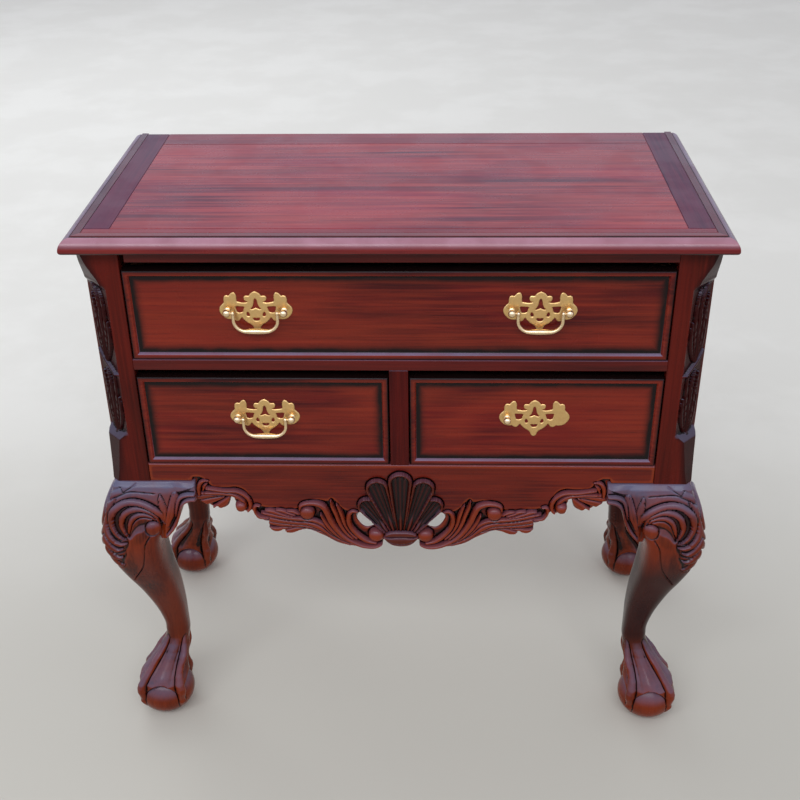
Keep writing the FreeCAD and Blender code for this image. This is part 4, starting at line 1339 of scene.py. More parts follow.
@dataclass
class CarvedPost:
    """Front post whose outer corner is canted and carved with leaves.

    Its corner gives the width of the cant at each height; the leaves lie between low and high,
    sunk below the cant. The share of painted shade sets how dark the cant is.
    """

    hand: Hand
    width: float = 56.0
    depth: float = 50.0
    low: float = 539.0
    high: float = 779.0
    half_cant: float = 19.0
    sink: float = 6.0
    arris: float = 0.8
    stain: float = 0.78
    columns: int = 34
    corner: tuple = (
        (463, 9.0), (482, 13.0), (534, 20.0), (540, 27.0), (776, 27.0), (784, 24.0), (806, 12.0),
        (831, 3.0))

    def carving(self, z: float) -> np.ndarray:
        """Height of the carving above the plain cant, negative where it is sunk.

        Args:
            z: Height above the floor.

        Returns:
            Height at each place across the cant, from its front edge to its side edge.
        """
        share = (np.full(self.columns + 1, z) - self.low) / (self.high - self.low)
        ends = ease(0.0, 0.03, share) * ease(1.0, 0.95, share)
        across = np.linspace(-1, 1, self.columns + 1) * self.half_cant
        work = carved(POST_LEAVES, np.stack([across, share * (self.high - self.low)], 1))
        return -self.sink * ends + work * ends

    def plan(self, z: float) -> tuple[np.ndarray, slice]:
        """Outline of the post at one height.

        Args:
            z: Height above the floor.

        Returns:
            (x, y) of the inner side, front, cant and outer side, and which of them are the cant.
        """
        inner, cant = SIDE - self.width, float(np.interp(z, *np.array(self.corner).T))
        rows = [(inner, FRONT + self.depth), (inner, FRONT + self.arris), (inner + self.arris, FRONT)]
        rows += [(inner + self.arris + (self.width - cant - self.arris) * k / 4, FRONT) for k in (1, 2, 3)]
        first, last = np.array([SIDE - cant, FRONT]), np.array([SIDE, FRONT + cant])
        start = len(rows)
        rows += [tuple(first + (last - first) * k / self.columns) for k in range(self.columns + 1)]
        rows += [(SIDE, FRONT + cant + (self.depth - cant) * k / 3) for k in (1, 2, 3)]
        return np.array(rows), slice(start, start + self.columns + 1)

    def build(self) -> None:
        """Rings of the plan, finest where the leaves are."""
        low, high = self.low - 8, self.high + 8
        heights = np.concatenate([np.arange(LEG_TOP, low, 5.0), np.arange(low, high, 1.3),
                                  np.arange(high + 2, CASE_TOP - 2, 4.0), [CASE_TOP]])
        rows = []
        for z in heights:
            plan, cant = self.plan(z)
            level = np.zeros(len(plan))
            level[cant] = self.carving(z)
            row = plan + np.array([1.0, -1.0]) / math.sqrt(2) * level[:, None]
            rows.append(np.column_stack([row, np.full(len(plan), z)]))
        # painted shade over the whole cant, carved part and all
        stain = np.zeros(len(plan))
        stain[cant] = self.stain
        shape = Shape(np.vstack(rows), capped_faces(len(rows), len(plan)),
                      {Trace.STAIN: np.tile(stain, len(rows))})
        if self.hand is Hand.LEFT:
            shape = shape.mirrored()
        make_piece("carved_post_" + self.hand.word, shape, POST_WOOD, "case",
                   ["post_front_" + self.hand.word], sharp=38, carved=True)


@dataclass
class Case:
    """Rails, divider, posts, panels, back and running gear."""

    softened: tuple = (
        ("under_top_rail", "top_rail", RAIL_WOOD), ("drawer_rail", "middle_rail", RAIL_WOOD),
        ("divider", "drawer_divider", POST_WOOD), ("rear_post_left", "post_rear_left", POST_WOOD),
        ("rear_post_right", "post_rear_right", POST_WOOD), ("left_side", "side_panel_left", PANEL_WOOD),
        ("right_side", "side_panel_right", PANEL_WOOD))

    def build(self) -> None:
        """Builds the case from its boards."""
        for name, node, finish in self.softened:
            SoftenedBoard(name, node, finish).build()
        dress(BACK_WOOD, "back_panel", "rear_bottom_rail")
        dress(DRAWER_BOX_WOOD, "upper_runner_left", "upper_runner_right", "lower_runner_left",
              "lower_runner_right", "lower_runner_centre", "corner_blocks")
        for hand in Hand:
            CarvedPost(hand).build()


# --- apron ----------------------------------------------------------------------------------

# Lower edge of the right half from the middle outwards, its piercing, and the sunk field that the
# leaves stand in.
APRON_EDGE = (
    (0, 115.5), (9, 115), (17, 112), (23, 107.5), (26, 108.5), (30, 114), (38, 118.5), (50, 120),
    (66, 118.5), (86, 114.6), (106, 103.4), (125.4, 91), (134, 87), (143.3, 86.2), (151, 88), (157.7, 91.3),
    (166, 94.4), (171.8, 91.5), (175.5, 86.5), (180, 90.3), (186, 91), (192, 89.2), (197.3, 81.7),
    (197, 74), (196, 69.3), (204, 69), (211.5, 65.7), (216.8, 56), (219, 50), (221, 55), (228, 57),
    (235, 56), (241, 52), (245, 40), (247, 32), (250, 30), (253, 40), (256, 46.5), (263, 51), (268, 48),
    (272, 45), (278, 49), (286, 43), (299, 33), (301, 33))
APRON_HOLE = ((64, 57), (57, 54.5), (49, 60), (42, 68), (38, 76), (42, 82), (52, 84), (60, 78), (66, 66))
CARVED_GROUND = (
    (222, 30), (217, 40), (204.6, 44.8), (184.8, 45.9), (169, 48.2), (153.1, 46.8), (147, 38), (140.5, 33),
    (122.6, 31), (107, 34), (102, 28), (96, 34), (81.8, 50), (66, 50), (60, 60), (30, 90), (20, 128),
    (90, 125), (130, 96), (200, 98), (225, 70), (300, 60), (305, -4), (285, -4), (276, 8), (256, 10),
    (238, 10), (226, 18))
APRON_CARVING = (
    Ground(CARVED_GROUND, -4.5),
    # bracket beside the knee block
    Rib(((304, 30, 3), (288, 29, 4), (274, 27, 4), (262, 25, 3), (252, 25, 1.5)), 2.0, -2.0),
    Rib(((304, 41, 3), (290, 38, 5), (280, 35, 4.5), (268, 31, 3), (260, 28, 1)), 2.6, -1.5, vein=0.8),
    Rib(((276, 46, 2), (268, 44, 5), (260, 38, 5), (254, 31, 3), (252, 27, 1)), 3.0, -1.0, vein=0.8),
    Rib(((292, 21, 1.5), (276, 21, 2.8), (262, 21.5, 3.2), (248, 23.5, 3.4), (238, 29, 3.4), (231.5, 37, 3),
         (229, 46, 2)), 4.5, -1.0, lean=0.6),
    Rib(((290, 10, 1), (278, 12.5, 2.4), (258, 16, 2.8), (240, 17, 3), (228.5, 24, 3.2), (222.5, 34, 3.2),
         (222, 45, 3), (226, 51, 2)), 5.5, lean=0.8),
    Boss((236.5, 44.5), (8.6, 8.6), 7.5, 0.0),
    Rib(((296, 24, 2), (296, 12, 3), (292, 3, 3), (286, -1, 2), (281, -1, 1)), 4.0, -1.0, lean=1.0),
    Rib(((290, 16, 1.5), (287, 8, 2.2), (283, 4, 1)), 3.0, -1.0),
    # leaf from the left end to the middle
    Rib(((196, 84, 2), (187, 87, 4), (177, 85, 3), (166, 82, 2), (150, 80, 1)), 2.5, -1.0),
    Rib(((172, 90, 3), (160, 88, 4.6), (146, 83, 4), (132, 81, 3), (118, 86, 1.5)), 2.8, -1.0, vein=0.8),
    Rib(((142, 88, 2), (128, 88, 4), (112, 94, 4), (96, 106, 3), (76, 114, 1.5)), 3.0, -1.0),
    Rib(((205, 71, 2), (192, 74, 4), (176, 77, 3.8), (158, 78, 3.4), (138, 80, 3), (122, 86, 2)),
        3.4, -1.0),
    Rib(((212, 62, 2.5), (198, 66, 4), (180, 69.5, 4), (160, 72, 4), (136, 74.5, 4), (118, 84, 3.6),
         (100, 99, 3.2), (82, 109, 2.4), (64, 114, 1.4)), 4.2, vein=0.7),
    Rib(((206, 55, 1.5), (192, 59, 3.2), (174, 63.5, 3.4), (154, 66.5, 3.4), (134, 68, 3.4), (118, 75, 3),
         (104, 91, 2), (94, 100, 1)), 4.0, lean=0.6),
    Rib(((200, 50, 1), (192, 51, 3), (182, 55, 3), (170, 59, 1.5), (160, 61, 1)), 4.6, 0.5),
    Rib(((184, 49, 1), (176, 50, 2.8), (166, 54, 2.6), (156, 58, 1)), 5.0, 0.5),
    Rib(((168, 50, 1), (161, 51, 2.6), (154, 54, 2.2), (147, 59, 1)), 5.0, 0.5),
    Rib(((208, 42, 1.2), (213.5, 41.5, 2.4), (217, 47, 3), (216, 56, 3.2), (209, 63, 3), (197, 64, 1.6)),
        5.0, lean=0.8),
    # inner scroll beside the piercing
    Rib(((64, 52, 1.6), (71, 51.5, 2.8), (76, 58, 3.2), (77.5, 68, 3.6), (75, 80, 3.8), (68, 91, 3.8),
         (59, 100, 3.6), (50, 106, 3.2), (38, 109, 2.4)), 4.5, lean=-0.8),
    # outer scroll with its ball, and the tips behind it
    Rib(((94, 39, 1), (90, 50, 2.4), (86.5, 62, 2.8), (83, 76, 2.8), (76, 90, 2.4), (66, 101, 1.4)),
        4.5, lean=-0.6),
    Rib(((103, 32.5, 0.8), (101, 42, 2.4), (96, 56, 2.8), (91, 72, 3), (83, 88, 2.8), (72, 102, 1.8)),
        5.2, lean=-0.6),
    Rib(((118, 58, 1.5), (113, 70, 2.6), (104, 85, 3), (91, 99, 2.6), (76, 108, 1.6)), 4.5),
    Rib(((149, 50, 1.6), (148, 42, 2.4), (141, 37, 3.2), (127, 36.2, 3.8), (115, 42, 4.2), (109, 54, 4.2),
         (104, 68, 4.2), (96, 83, 4), (85, 97, 3.6), (70, 108, 3.2), (55, 114.5, 3), (40, 115.5, 2.6),
         (29, 111, 2)), 6.5, lean=-1.0),
    Boss((138.5, 55.0), (11.0, 11.0), 8.0),
    Boss((36.8, 94.5), (11.4, 10.8), 8.5, 1.0),
)


SHELL_BASE = (
    Rib(((-1, 106, 9), (10, 105, 8), (18, 102, 5), (24, 98, 2)), 4.5, 2.0),
    Cut(((-1, 110, 1.2), (10, 108, 1.2), (19, 104, 0.8)), 1.6),
    Rib(((-1, 88, 4.8), (9, 88.2, 4.8), (17, 89, 4.2), (21, 90, 2.5)), 4.5, 6.5, 2.8),
)


@dataclass
class Apron:
    """Front apron: plain board above, leaf scrolls and a shell below, pierced beside the shell."""

    end: float = 301.0
    cheek: float = 33.0
    top: float = 493.0
    back: float = -182.0
    arris: float = 2.2
    spacing: float = 1.05
    fall: float = 13.0
    root: float = 87.0
    root_half: float = 4.6
    shell_crest: float = 9.2
    shell_lip: float = 0.82
    lobes: tuple = ((0.0, 0.0, -1.5, 17.2), (9.2, 33.5, 9.0, 16.2), (18.4, 49.0, 39.0, 13.6))

    def shell(self, points: np.ndarray, height: np.ndarray) -> tuple[np.ndarray, np.ndarray]:
        """The shell raised over the carving.

        Each lobe is (across at its root, across and drop of the middle of its round end, radius).

        Args:
            points: (across, drop) pairs.
            height: Height of the work so far.

        Returns:
            Height with the shell, and a mark that is 1 inside its bowls and two thirds on its rims.
        """
        work = height.copy()
        bowls = np.zeros(len(points))
        crest, lip = self.shell_crest, self.shell_lip
        for foot, across, drop, radius in reversed(self.lobes):
            origin = np.array([foot, self.root])
            axis = np.array([across, drop]) - origin
            length = float(np.hypot(*axis))
            axis = axis / length
            rel = points - origin
            along = rel @ axis
            aside = rel @ np.array([-axis[1], axis[0]])
            rise = np.clip(along / length, 0, 1)
            width = self.root_half + (radius - self.root_half) * rise ** 0.9
            cap = np.hypot(aside, along - length)
            share = np.where(along > length, cap / radius, np.abs(aside) / width)
            sweep = np.clip(aside / width, -1, 1)
            fluted = 6.4 + 1.9 * np.cos(2 * math.pi * sweep) + 1.5 * rise
            bowl = crest - 6.8 * np.clip(1 - (share / lip) ** 2, 0, 1) ** 0.5
            bowl = bowl + 0.5 * np.cos(5 * math.pi * sweep)
            rim = crest - 2.2 * (np.abs(share - 0.91) / 0.09) ** 2 * 0.5
            open_part = ease(0.12, 0.5, rise)
            body = fluted + (np.where(share > lip, rim, bowl) - fluted) * open_part
            beside = (share - 1) * np.where(along > length, radius, width)
            trench = work - 3.2 * np.clip(1 - beside / 2.2, 0, 1) * (along > -2)
            work = np.where((share < 1) & (along > -6), body, np.where(share > 1, trench, work))
            depth = 0.68 + 0.32 * ease(0.86, 0.78, share) * open_part
            bowls = np.where((share < 1) & (along > -6), depth, bowls)
        return work, bowls

    def height(self, points: np.ndarray) -> np.ndarray:
        """Height of the carving.

        Args:
            points: Array of (x, z) points.

        Returns:
            Height above the board at each point.
        """
        spots = np.stack([np.abs(points[:, 0]), LEG_TOP - points[:, 1]], 1)
        work, _ = self.shell(spots, carved(APRON_CARVING, spots))
        for stroke in SHELL_BASE:
            work = stroke.carve(spots, work)
        return work

    def traces(self, spots: np.ndarray) -> dict[Trace, np.ndarray]:
        """Painted shade in the shell, deepest in its bowls, darker round its base, and rubbed balls of
        the scrolls.

        Args:
            spots: (across, drop) of each point.

        Returns:
            The traces.
        """
        _, bowls = self.shell(spots, np.zeros(len(spots)))
        rubbed = np.zeros(len(spots))
        for stroke in APRON_CARVING:
            if isinstance(stroke, Boss):
                share = np.hypot(*((spots - np.array(stroke.at)) / np.array(stroke.radii)).T)
                rubbed = np.maximum(rubbed, ease(1.05, 0.7, share))
        base = ease(1.1, 0.8, np.hypot(spots[:, 0] / 26, (spots[:, 1] - 100) / 14))
        # painted shade in the shell and darkening round its base, kept off the rubbed balls
        return {Trace.STAIN: np.maximum(0.82 * bowls, 0.6 * base) * (1 - rubbed),
                Trace.RUBBED: 1.6 * rubbed - 0.06 * bowls}

    def build(self) -> None:
        """Outline with both halves, then the carved plate."""
        lower, hole = flowing(APRON_EDGE, 1.2), flowing(APRON_HOLE, 1.2, True)
        for line in (lower, hole):
            line[:, 1] = LEG_TOP - line[:, 1]
        rim = straight([(self.end, LEG_TOP - self.cheek), (self.end, LEG_TOP), (OPENING_HALF, LEG_TOP),
                        (OPENING_HALF, self.top), (0.0, self.top)], 4.0)[1:]
        outline = both_halves(np.vstack([lower, rim]))
        shape = relief_plate(outline, and_mirrored(hole), self.spacing, self.height,
                             lambda p: np.full(len(p), FRONT), self.back, self.arris, self.fall)
        spots = np.stack([np.abs(shape.points[:, 0]), LEG_TOP - shape.points[:, 2]], 1)
        shape.traces.update(self.traces(spots))
        make_piece("carved_apron", shape, APRON_WOOD, "case", ["apron"], sharp=60,
                   carved=True)


# --- legs -----------------------------------------------------------------------------------

# The two pointed leaves that cross from the knee to its block.
LEAF_TIPS = (
    Rib(((69.4, 20, 0.5), (69.8, 27, 2.6), (71, 36, 4.2), (74, 50, 4.6), (77, 64, 3)),
        2.8, -0.2, 1.8, 1.2, vein=0.6),
    Rib(((88.3, 16, 0.5), (87.8, 23, 2.8), (86.4, 34, 5.0), (82.8, 50, 5.6), (77, 68, 3)),
        3.4, 0.2, 1.8, 1.2, vein=0.6),
)
KNEE_CARVING = (
    Cut(((-30, 42, 1.6), (-8, 25, 1.6), (12, 9, 1.6)), 2.0),
    Cut(((12, 9, 1.4), (15.4, 18, 1.4)), 2.0),
    Cut(((15.4, 18, 1.4), (25, 11, 1.6), (35, 3, 1.2)), 2.0),
    Cut(((-30, 58, 1.8), (-9.3, 39.5, 1.8), (0.7, 28, 1.8), (14, 20.5, 1.6), (28, 16.5, 1.4), (62, 19, 1.0)),
        2.2),
    Ground(((-44, 60), (-22, 52), (-8, 38), (8, 30), (27, 23), (44, 24.5), (61, 31), (72, 42), (77, 62),
            (72, 76), (64, 62), (50, 56), (36, 58), (26, 68), (21, 86), (19, 100), (14, 110), (13, 120),
            (8, 130), (4, 142), (-6, 152), (-18, 158), (-44, 140)), -2.4, 4.0),
    # strands that fall down the outer corner and hook inwards
    Rib(((-36, 96, 4), (-30, 114, 7.6), (-20, 129, 7.4), (-9, 140, 5.0), (-1, 144, 2.8), (5, 140, 0.7)),
        2.0, -1.2, 1.4, 1.2),
    Rib(((-30, 50, 2), (-34, 70, 5.6), (-33, 88, 6.8), (-26, 106, 6.8), (-15, 119, 5.2), (-4, 126, 3.2),
         (5, 123, 0.7)), 2.6, -0.9, 1.4, 1.2),
    Rib(((-12, 30, 1.4), (-20, 48, 4.4), (-24.5, 68, 5.4), (-22, 86, 5.6), (-13, 101, 4.8),
         (-2, 108.5, 3.0), (7, 106, 0.7)), 2.8, -0.7, 1.6, 1.2),
    Rib(((4, 27, 1.2), (-7, 40, 3.6), (-15, 57, 4.4), (-15.6, 75, 4.6), (-8, 89, 4.2), (4, 97, 3.0),
         (15, 95, 0.7)), 3.0, -0.6, 1.8, 1.2),
    Cut(((-4, 92, 0.6), (4, 91, 2.0), (12, 87, 2.6), (17, 82, 1.2)), 2.6),
    Cut(((-10, 118, 0.6), (-2, 117.5, 2.0), (6, 114, 2.6), (11, 109, 1.0)), 2.6),
    # pointed leaves above the scroll
    *LEAF_TIPS,
    # the bands of the scroll
    Rib(((62, 60, 1.6), (57, 53, 2.4), (47, 49, 3.0), (36, 49.5, 3.4), (27, 55, 3.6), (22, 64, 3.2),
         (20, 73, 2.0), (19, 79, 0.7)), 2.6, -1.8, 1.8, lean=-1.0),
    Rib(((66, 64, 1.2), (61, 50, 2.8), (50, 42.5, 3.6), (36, 40, 4.0), (22, 43.5, 4.2), (12.5, 52, 4.2),
         (9, 65, 3.8), (13, 77, 2.4), (17.5, 83.5, 0.7)), 3.0, -1.0, 1.8, lean=-1.2),
    Rib(((73, 77, 1.6), (73.5, 66, 2.8), (69, 51, 3.8), (56, 38.5, 4.4), (38, 31.5, 4.6), (19, 31.5, 4.6),
         (4, 39.5, 4.6), (-4.5, 51, 4.4), (-6, 65, 4.0), (0, 79, 3.2), (8, 86, 2.0), (14, 88, 0.7)),
        3.4, 0.0, 2.0, lean=-1.2),
    Cut(((20, 84, 4), (26, 74, 7), (35, 66, 11), (45, 63, 8)), 3.0),
    Boss((56.5, 70.5), (11.0, 11.4), 5.6, -0.6, 2.4, 2.4),
    Cut(((50, 84, 1.2), (41.5, 100, 1.9), (36, 127, 1.9), (29, 151, 1.7), (10.4, 181.7, 0.8)), 2.4),
    Cut(((84, 22, 1), (81, 34, 2.2), (80, 48, 1.6), (79, 60, 0.8)), 2.6),
)
BLOCK_CARVING = (
    Ground(((62, 34), (66, 22), (72, 17), (80, 20), (86, 13), (96, 15), (126, 7), (126, 40), (110, 44),
            (100, 70), (78, 100), (66, 96)), -2.5, 1.5),
    *LEAF_TIPS,
    Rib(((128, 27, 2.4), (112, 28, 2.8), (102, 35, 3), (97, 47, 3), (93, 60, 3), (85, 75, 2.6),
         (75, 86, 1.6)), 3.4, 0.0, lean=-0.6),
    Rib(((128, 18, 2), (112, 18.5, 2.6), (101, 22.5, 2.8), (95, 30, 2.6), (92, 42, 2), (90, 54, 1)),
        3.4, 0.6, lean=-0.6),
)


def knee_bulge(drop: np.ndarray) -> np.ndarray:
    """How far the knee stands out beyond the case's faces at a drop below the leg's top."""
    base = np.interp(drop, (0, 14, 30, 44, 60, 76, 102, 136), (0.0, 2.3, 8.6, 16.0, 20.8, 24.4, 27.4, 21.0))
    return base + knee_ledge(drop)


def knee_turn(aside: np.ndarray) -> np.ndarray:
    """Share of the knee's reach that is left where it leaves the corner."""
    return 1 - 0.55 * ease(52, 100, aside)


def knee_ledge(drop: np.ndarray) -> np.ndarray:
    """Extra reach of the ledge along the top of the knee."""
    return 6.5 * ease(-3, 10, drop) * ease(0, 1, drop) * (1 - ease(16, 66, drop))


def knee_sheen_boost(drop: np.ndarray) -> np.ndarray:
    """How much painted sheen is added along the top of the knee."""
    return 0.72 * ease(-1, 2, drop) * (1 - 0.62 * ease(10, 20, drop)) * ease(58, 26, drop)


@dataclass
class CabrioleLeg:
    """Cabriole leg with a ball-and-claw foot, carved at the knee if it stands in front.

    Its own sizes run inward from the outer corner of the case: along the side face and along the
    front or back face. The shaft's rows are (rise, middle, half width, squareness), all but the
    last as shares of its length or of the block; the hood's are (height, radius, share of the way
    from the foot's middle to the ankle's) and the claws' (height, reach, half width).
    """

    hand: Hand
    front: bool
    foot_inset: float
    stain: float
    columns: int
    row_step: float
    block: float = 98.0
    ankle: float = 141.0
    foot_depth: float = 21.0
    design_inset: float = 22.0
    ankle_inset: float = 48.0
    ball: tuple[float, float] = (46.0, 38.0)
    ball_middle: float = 35.0
    claw_root: float = 0.8
    shaft: tuple = (
        (1.0, 0.5, 0.5, 9.0), (0.957, 0.470, 0.490, 8.0), (0.863, 0.357, 0.52, 6.0),
        (0.764, 0.237, 0.487, 5.0), (0.683, 0.166, 0.446, 4.5), (0.578, 0.189, 0.403, 4.5),
        (0.453, 0.27, 0.352, 4.2), (0.329, 0.367, 0.296, 3.8), (0.186, 0.449, 0.235, 3.2),
        (0.068, 0.488, 0.193, 2.8), (0.0, 0.4898, 0.192, 2.6))
    hood: tuple = (
        (141, 18.8, 1.0), (137, 18.9, 0.99), (132, 19.2, 0.96), (122, 20.4, 0.86), (110, 22.6, 0.7),
        (98, 26, 0.48), (88, 30, 0.3), (78, 35, 0.13), (66, 41, 0.0), (50, 43, 0.0))
    claws: tuple = (
        (150, 16.0, 1.0), (141, 18.0, 2.0), (136, 20.4, 3.4), (132, 21.6, 4.2), (122, 25.0, 5.0),
        (113, 30.0, 5.6), (105, 34.4, 6.2), (98, 36.8, 6.4), (91, 38.0, 6.2), (83, 40.5, 6.2),
        (75, 44.6, 6.8), (67, 49.4, 7.6), (59, 52.4, 8.2), (51, 52.8, 8.0), (43, 50.6, 7.0),
        (37, 49.2, 6.6), (31, 49.8, 6.8), (26, 47.4, 5.6), (21, 44.2, 4.0), (17, 41.2, 2.4),
        (13, 37.6, 1.2), (9, 33.0, 0.6), (4, 26.0, 0.6), (0, 12.0, 0.6))

    def sections(self) -> np.ndarray:
        """Sections of the shaft.

        Returns:
            Rows of height, middle, half width and squareness, from the ankle up.
        """
        length = LEG_TOP - self.ankle
        table = flowing([(self.ankle + length * rise, self.block * middle, self.block * half, square)
                         for rise, middle, half, square in reversed(self.shaft)], 2.0)
        return table[np.argsort(table[:, 0])]

    @staticmethod
    def squared(turn: np.ndarray, half: float, square: float) -> np.ndarray:
        """Radius of a squared circle at each turn."""
        return half / (np.abs(np.cos(turn)) ** square + np.abs(np.sin(turn)) ** square) ** (1 / square)

    def shaft_rows(self) -> np.ndarray:
        """Points of the shaft, ring by ring upwards from the ankle.

        Returns:
            Rings of points in the leg's own sizes.
        """
        table = self.sections()
        length = LEG_TOP - self.ankle
        turn = np.linspace(0, 2 * math.pi, self.columns, endpoint=False)
        rings = []
        for z in np.linspace(self.ankle, LEG_TOP, int(length / self.row_step) + 1)[1:]:
            middle, half, square = (np.interp(z, table[:, 0], table[:, k]) for k in (1, 2, 3))
            radius = self.squared(turn, half, square)
            shift = (self.foot_inset - self.design_inset) * (LEG_TOP - z) / length
            across, deep = middle + shift + radius * np.cos(turn), middle + radius * np.sin(turn)
            if self.front:
                across, deep = self.turned_in(across, deep), self.turned_in(deep, across)
            rings.append(np.column_stack([across, deep, np.full(self.columns, z)]))
        return np.array(rings)

    @staticmethod
    def turned_in(outward: np.ndarray, aside: np.ndarray) -> np.ndarray:
        """Draws the knee's outer face back to the case where it leaves the corner."""
        return np.where(outward < 0, outward * knee_turn(aside), outward)

    def foot_levels(self, from_middle: np.ndarray) -> list[tuple[np.ndarray, float]]:
        """Heights of the foot's rings, which bend with the edge of the web between the claws.

        Args:
            from_middle: Angle of each point from the nearest middle of a web, in degrees.

        Returns:
            (height of each point, share of the web in it) of every ring, upwards.
        """
        edge = np.maximum(68.5 - 12.0 * (np.abs(from_middle) / 30) ** 2, 52)
        below = np.linspace(0, 1, max(8, int(62 / self.row_step)))
        above = np.linspace(0, 1, max(8, int(76 / self.row_step)))[1:]
        levels = [((edge - 1.2) * t, 0.0) for t in below]
        levels += [(edge + lift, share) for lift, share in ((0.0, 0.0), (0.0, 0.8), (0.5, 0.93), (1.6, 1.0))]
        return levels + [(edge + 1.6 + (self.ankle - edge - 1.6) * t, 1.0) for t in above]

    def foot_rows(self) -> np.ndarray:
        """Points of the foot, ring by ring upwards from the floor to the ankle.

        Returns:
            Rings of points in the leg's own sizes.
        """
        turn = np.linspace(0, 2 * math.pi, self.columns, endpoint=False)
        from_middle = (np.degrees(turn) + 45) % 90 - 45
        from_claw = 45 - np.abs(from_middle)
        hood, claws = np.array(sorted(self.hood)), np.array(sorted(self.claws))
        foot = np.array([self.foot_inset, self.foot_depth])
        ankle = np.array([self.ankle_inset + self.foot_inset - self.design_inset, self.ankle_inset])
        _, _, half, square = self.sections()[0]
        neck = self.squared(turn, half, square)
        rings = []
        for z, web in self.foot_levels(from_middle):
            ball = self.ball[0] * np.sqrt(np.clip(1 - ((z - self.ball_middle) / self.ball[1]) ** 2, 0.0, 1))
            sheet = np.interp(z, hood[:, 0], hood[:, 1])
            fold = ease(64, 76, z) * ease(138, 112, z)
            sheet = sheet + 1.5 * np.exp(-(from_middle / 12) ** 2) * fold
            sheet = sheet - 1.0 * np.exp(-((np.abs(from_middle) - 24) / 5) ** 2) * fold
            sheet = sheet + (neck - sheet) * ease(112, 139, z)
            base = ball + (sheet - ball) * web
            reach, width = np.interp(z, claws[:, 0], claws[:, 1]), np.interp(z, claws[:, 0], claws[:, 2])
            aside = np.where(from_claw < 40, reach * np.sin(np.radians(from_claw)), 1e3)
            crest = reach - self.claw_root * width * (1 - np.clip(1 - (aside / width) ** 2.4, 0, 1) ** 0.5)
            sunk = 2.0 * ease(14, 24, z) * ease(141, 122, z)
            valley = base - sunk * np.clip(1 - (aside - width) / 2.6, 0, 1)
            radius = np.where(aside < width, np.maximum(crest, base - sunk), valley)
            centre = foot + (ankle - foot) * np.interp(z, hood[:, 0], hood[:, 2])[:, None]
            rings.append(np.column_stack([centre + (radius * np.array([np.cos(turn), np.sin(turn)])).T, z]))
        return np.array(rings)

    def carve_knee(self, rings: np.ndarray) -> np.ndarray:
        """Raises the knee's carving from both outer faces.

        Args:
            rings: Points of the shaft.

        Returns:
            The carved points.
        """
        along = np.roll(rings, -1, 1) - np.roll(rings, 1, 1)
        up = np.gradient(rings, axis=0)
        normal = np.cross(along, up)
        normal /= np.linalg.norm(normal, axis=2)[..., None] + 1e-9
        drop = LEG_TOP - rings[..., 2]
        facing_front = -normal[..., 1] >= -normal[..., 0]
        across = np.where(facing_front, rings[..., 0], rings[..., 1])
        towards = np.where(facing_front, -normal[..., 1], -normal[..., 0])
        work = carved(KNEE_CARVING, np.stack([across.ravel(), drop.ravel()], 1)).reshape(drop.shape)
        work = work * ease(0, 3, drop) * ease(215, 185, drop)
        work = (work + knee_ledge(drop) * np.where(facing_front, 1.0, 0.15)) * ease(0.25, 0.7, towards)
        return rings + normal * work[..., None]

    def traces(self, points: np.ndarray) -> dict[Trace, np.ndarray]:
        """Painted shade down the shaft, the rubbed face of the knee and painted sheen on its ledge.

        Args:
            points: Points in the leg's own sizes.

        Returns:
            The traces.
        """
        across, deep, z = points.T
        drop = LEG_TOP - z
        # painted shade darkens the lower shaft, above the foot
        stain = self.stain * ease(105 if self.front else 10, 175, drop) * ease(100, 150, z)
        if not self.front:
            return {Trace.STAIN: stain}
        rubbed = ease(16, 30, across) * ease(78, 60, across) * ease(30, 10, deep) * ease(90, 108, drop)
        plain = 0.26 * ease(168, 186, drop) * ease(146, 156, z)
        return {Trace.STAIN: stain, Trace.RUBBED: 0.7 * rubbed * ease(200, 150, drop) + plain,
                Trace.BLOOM: knee_sheen_boost(drop)}

    def build(self) -> None:
        """Foot, shaft and both ends as one closed mesh."""
        shaft = self.shaft_rows()
        if self.front:
            shaft = self.carve_knee(shaft)
        rings = np.concatenate([self.foot_rows(), shaft])
        points = np.vstack([rings.reshape(-1, 3), rings[0].mean(0)[None], rings[-1].mean(0)[None]])
        faces = pointed_faces(len(rings), self.columns)
        if (self.hand is Hand.RIGHT) == self.front:
            faces = [f[::-1] for f in faces]
        x = self.hand.value * (SIDE - points[:, 0])
        y = FRONT + points[:, 1] if self.front else BACK - points[:, 1]
        shape = Shape(np.column_stack([x, y, points[:, 2]]), faces, self.traces(points))
        word = ("front_" if self.front else "rear_") + self.hand.word
        make_piece("cabriole_leg_" + word, shape, LEG_WOOD, "case", ["leg_" + word],
                   sharp=60, carved=True)


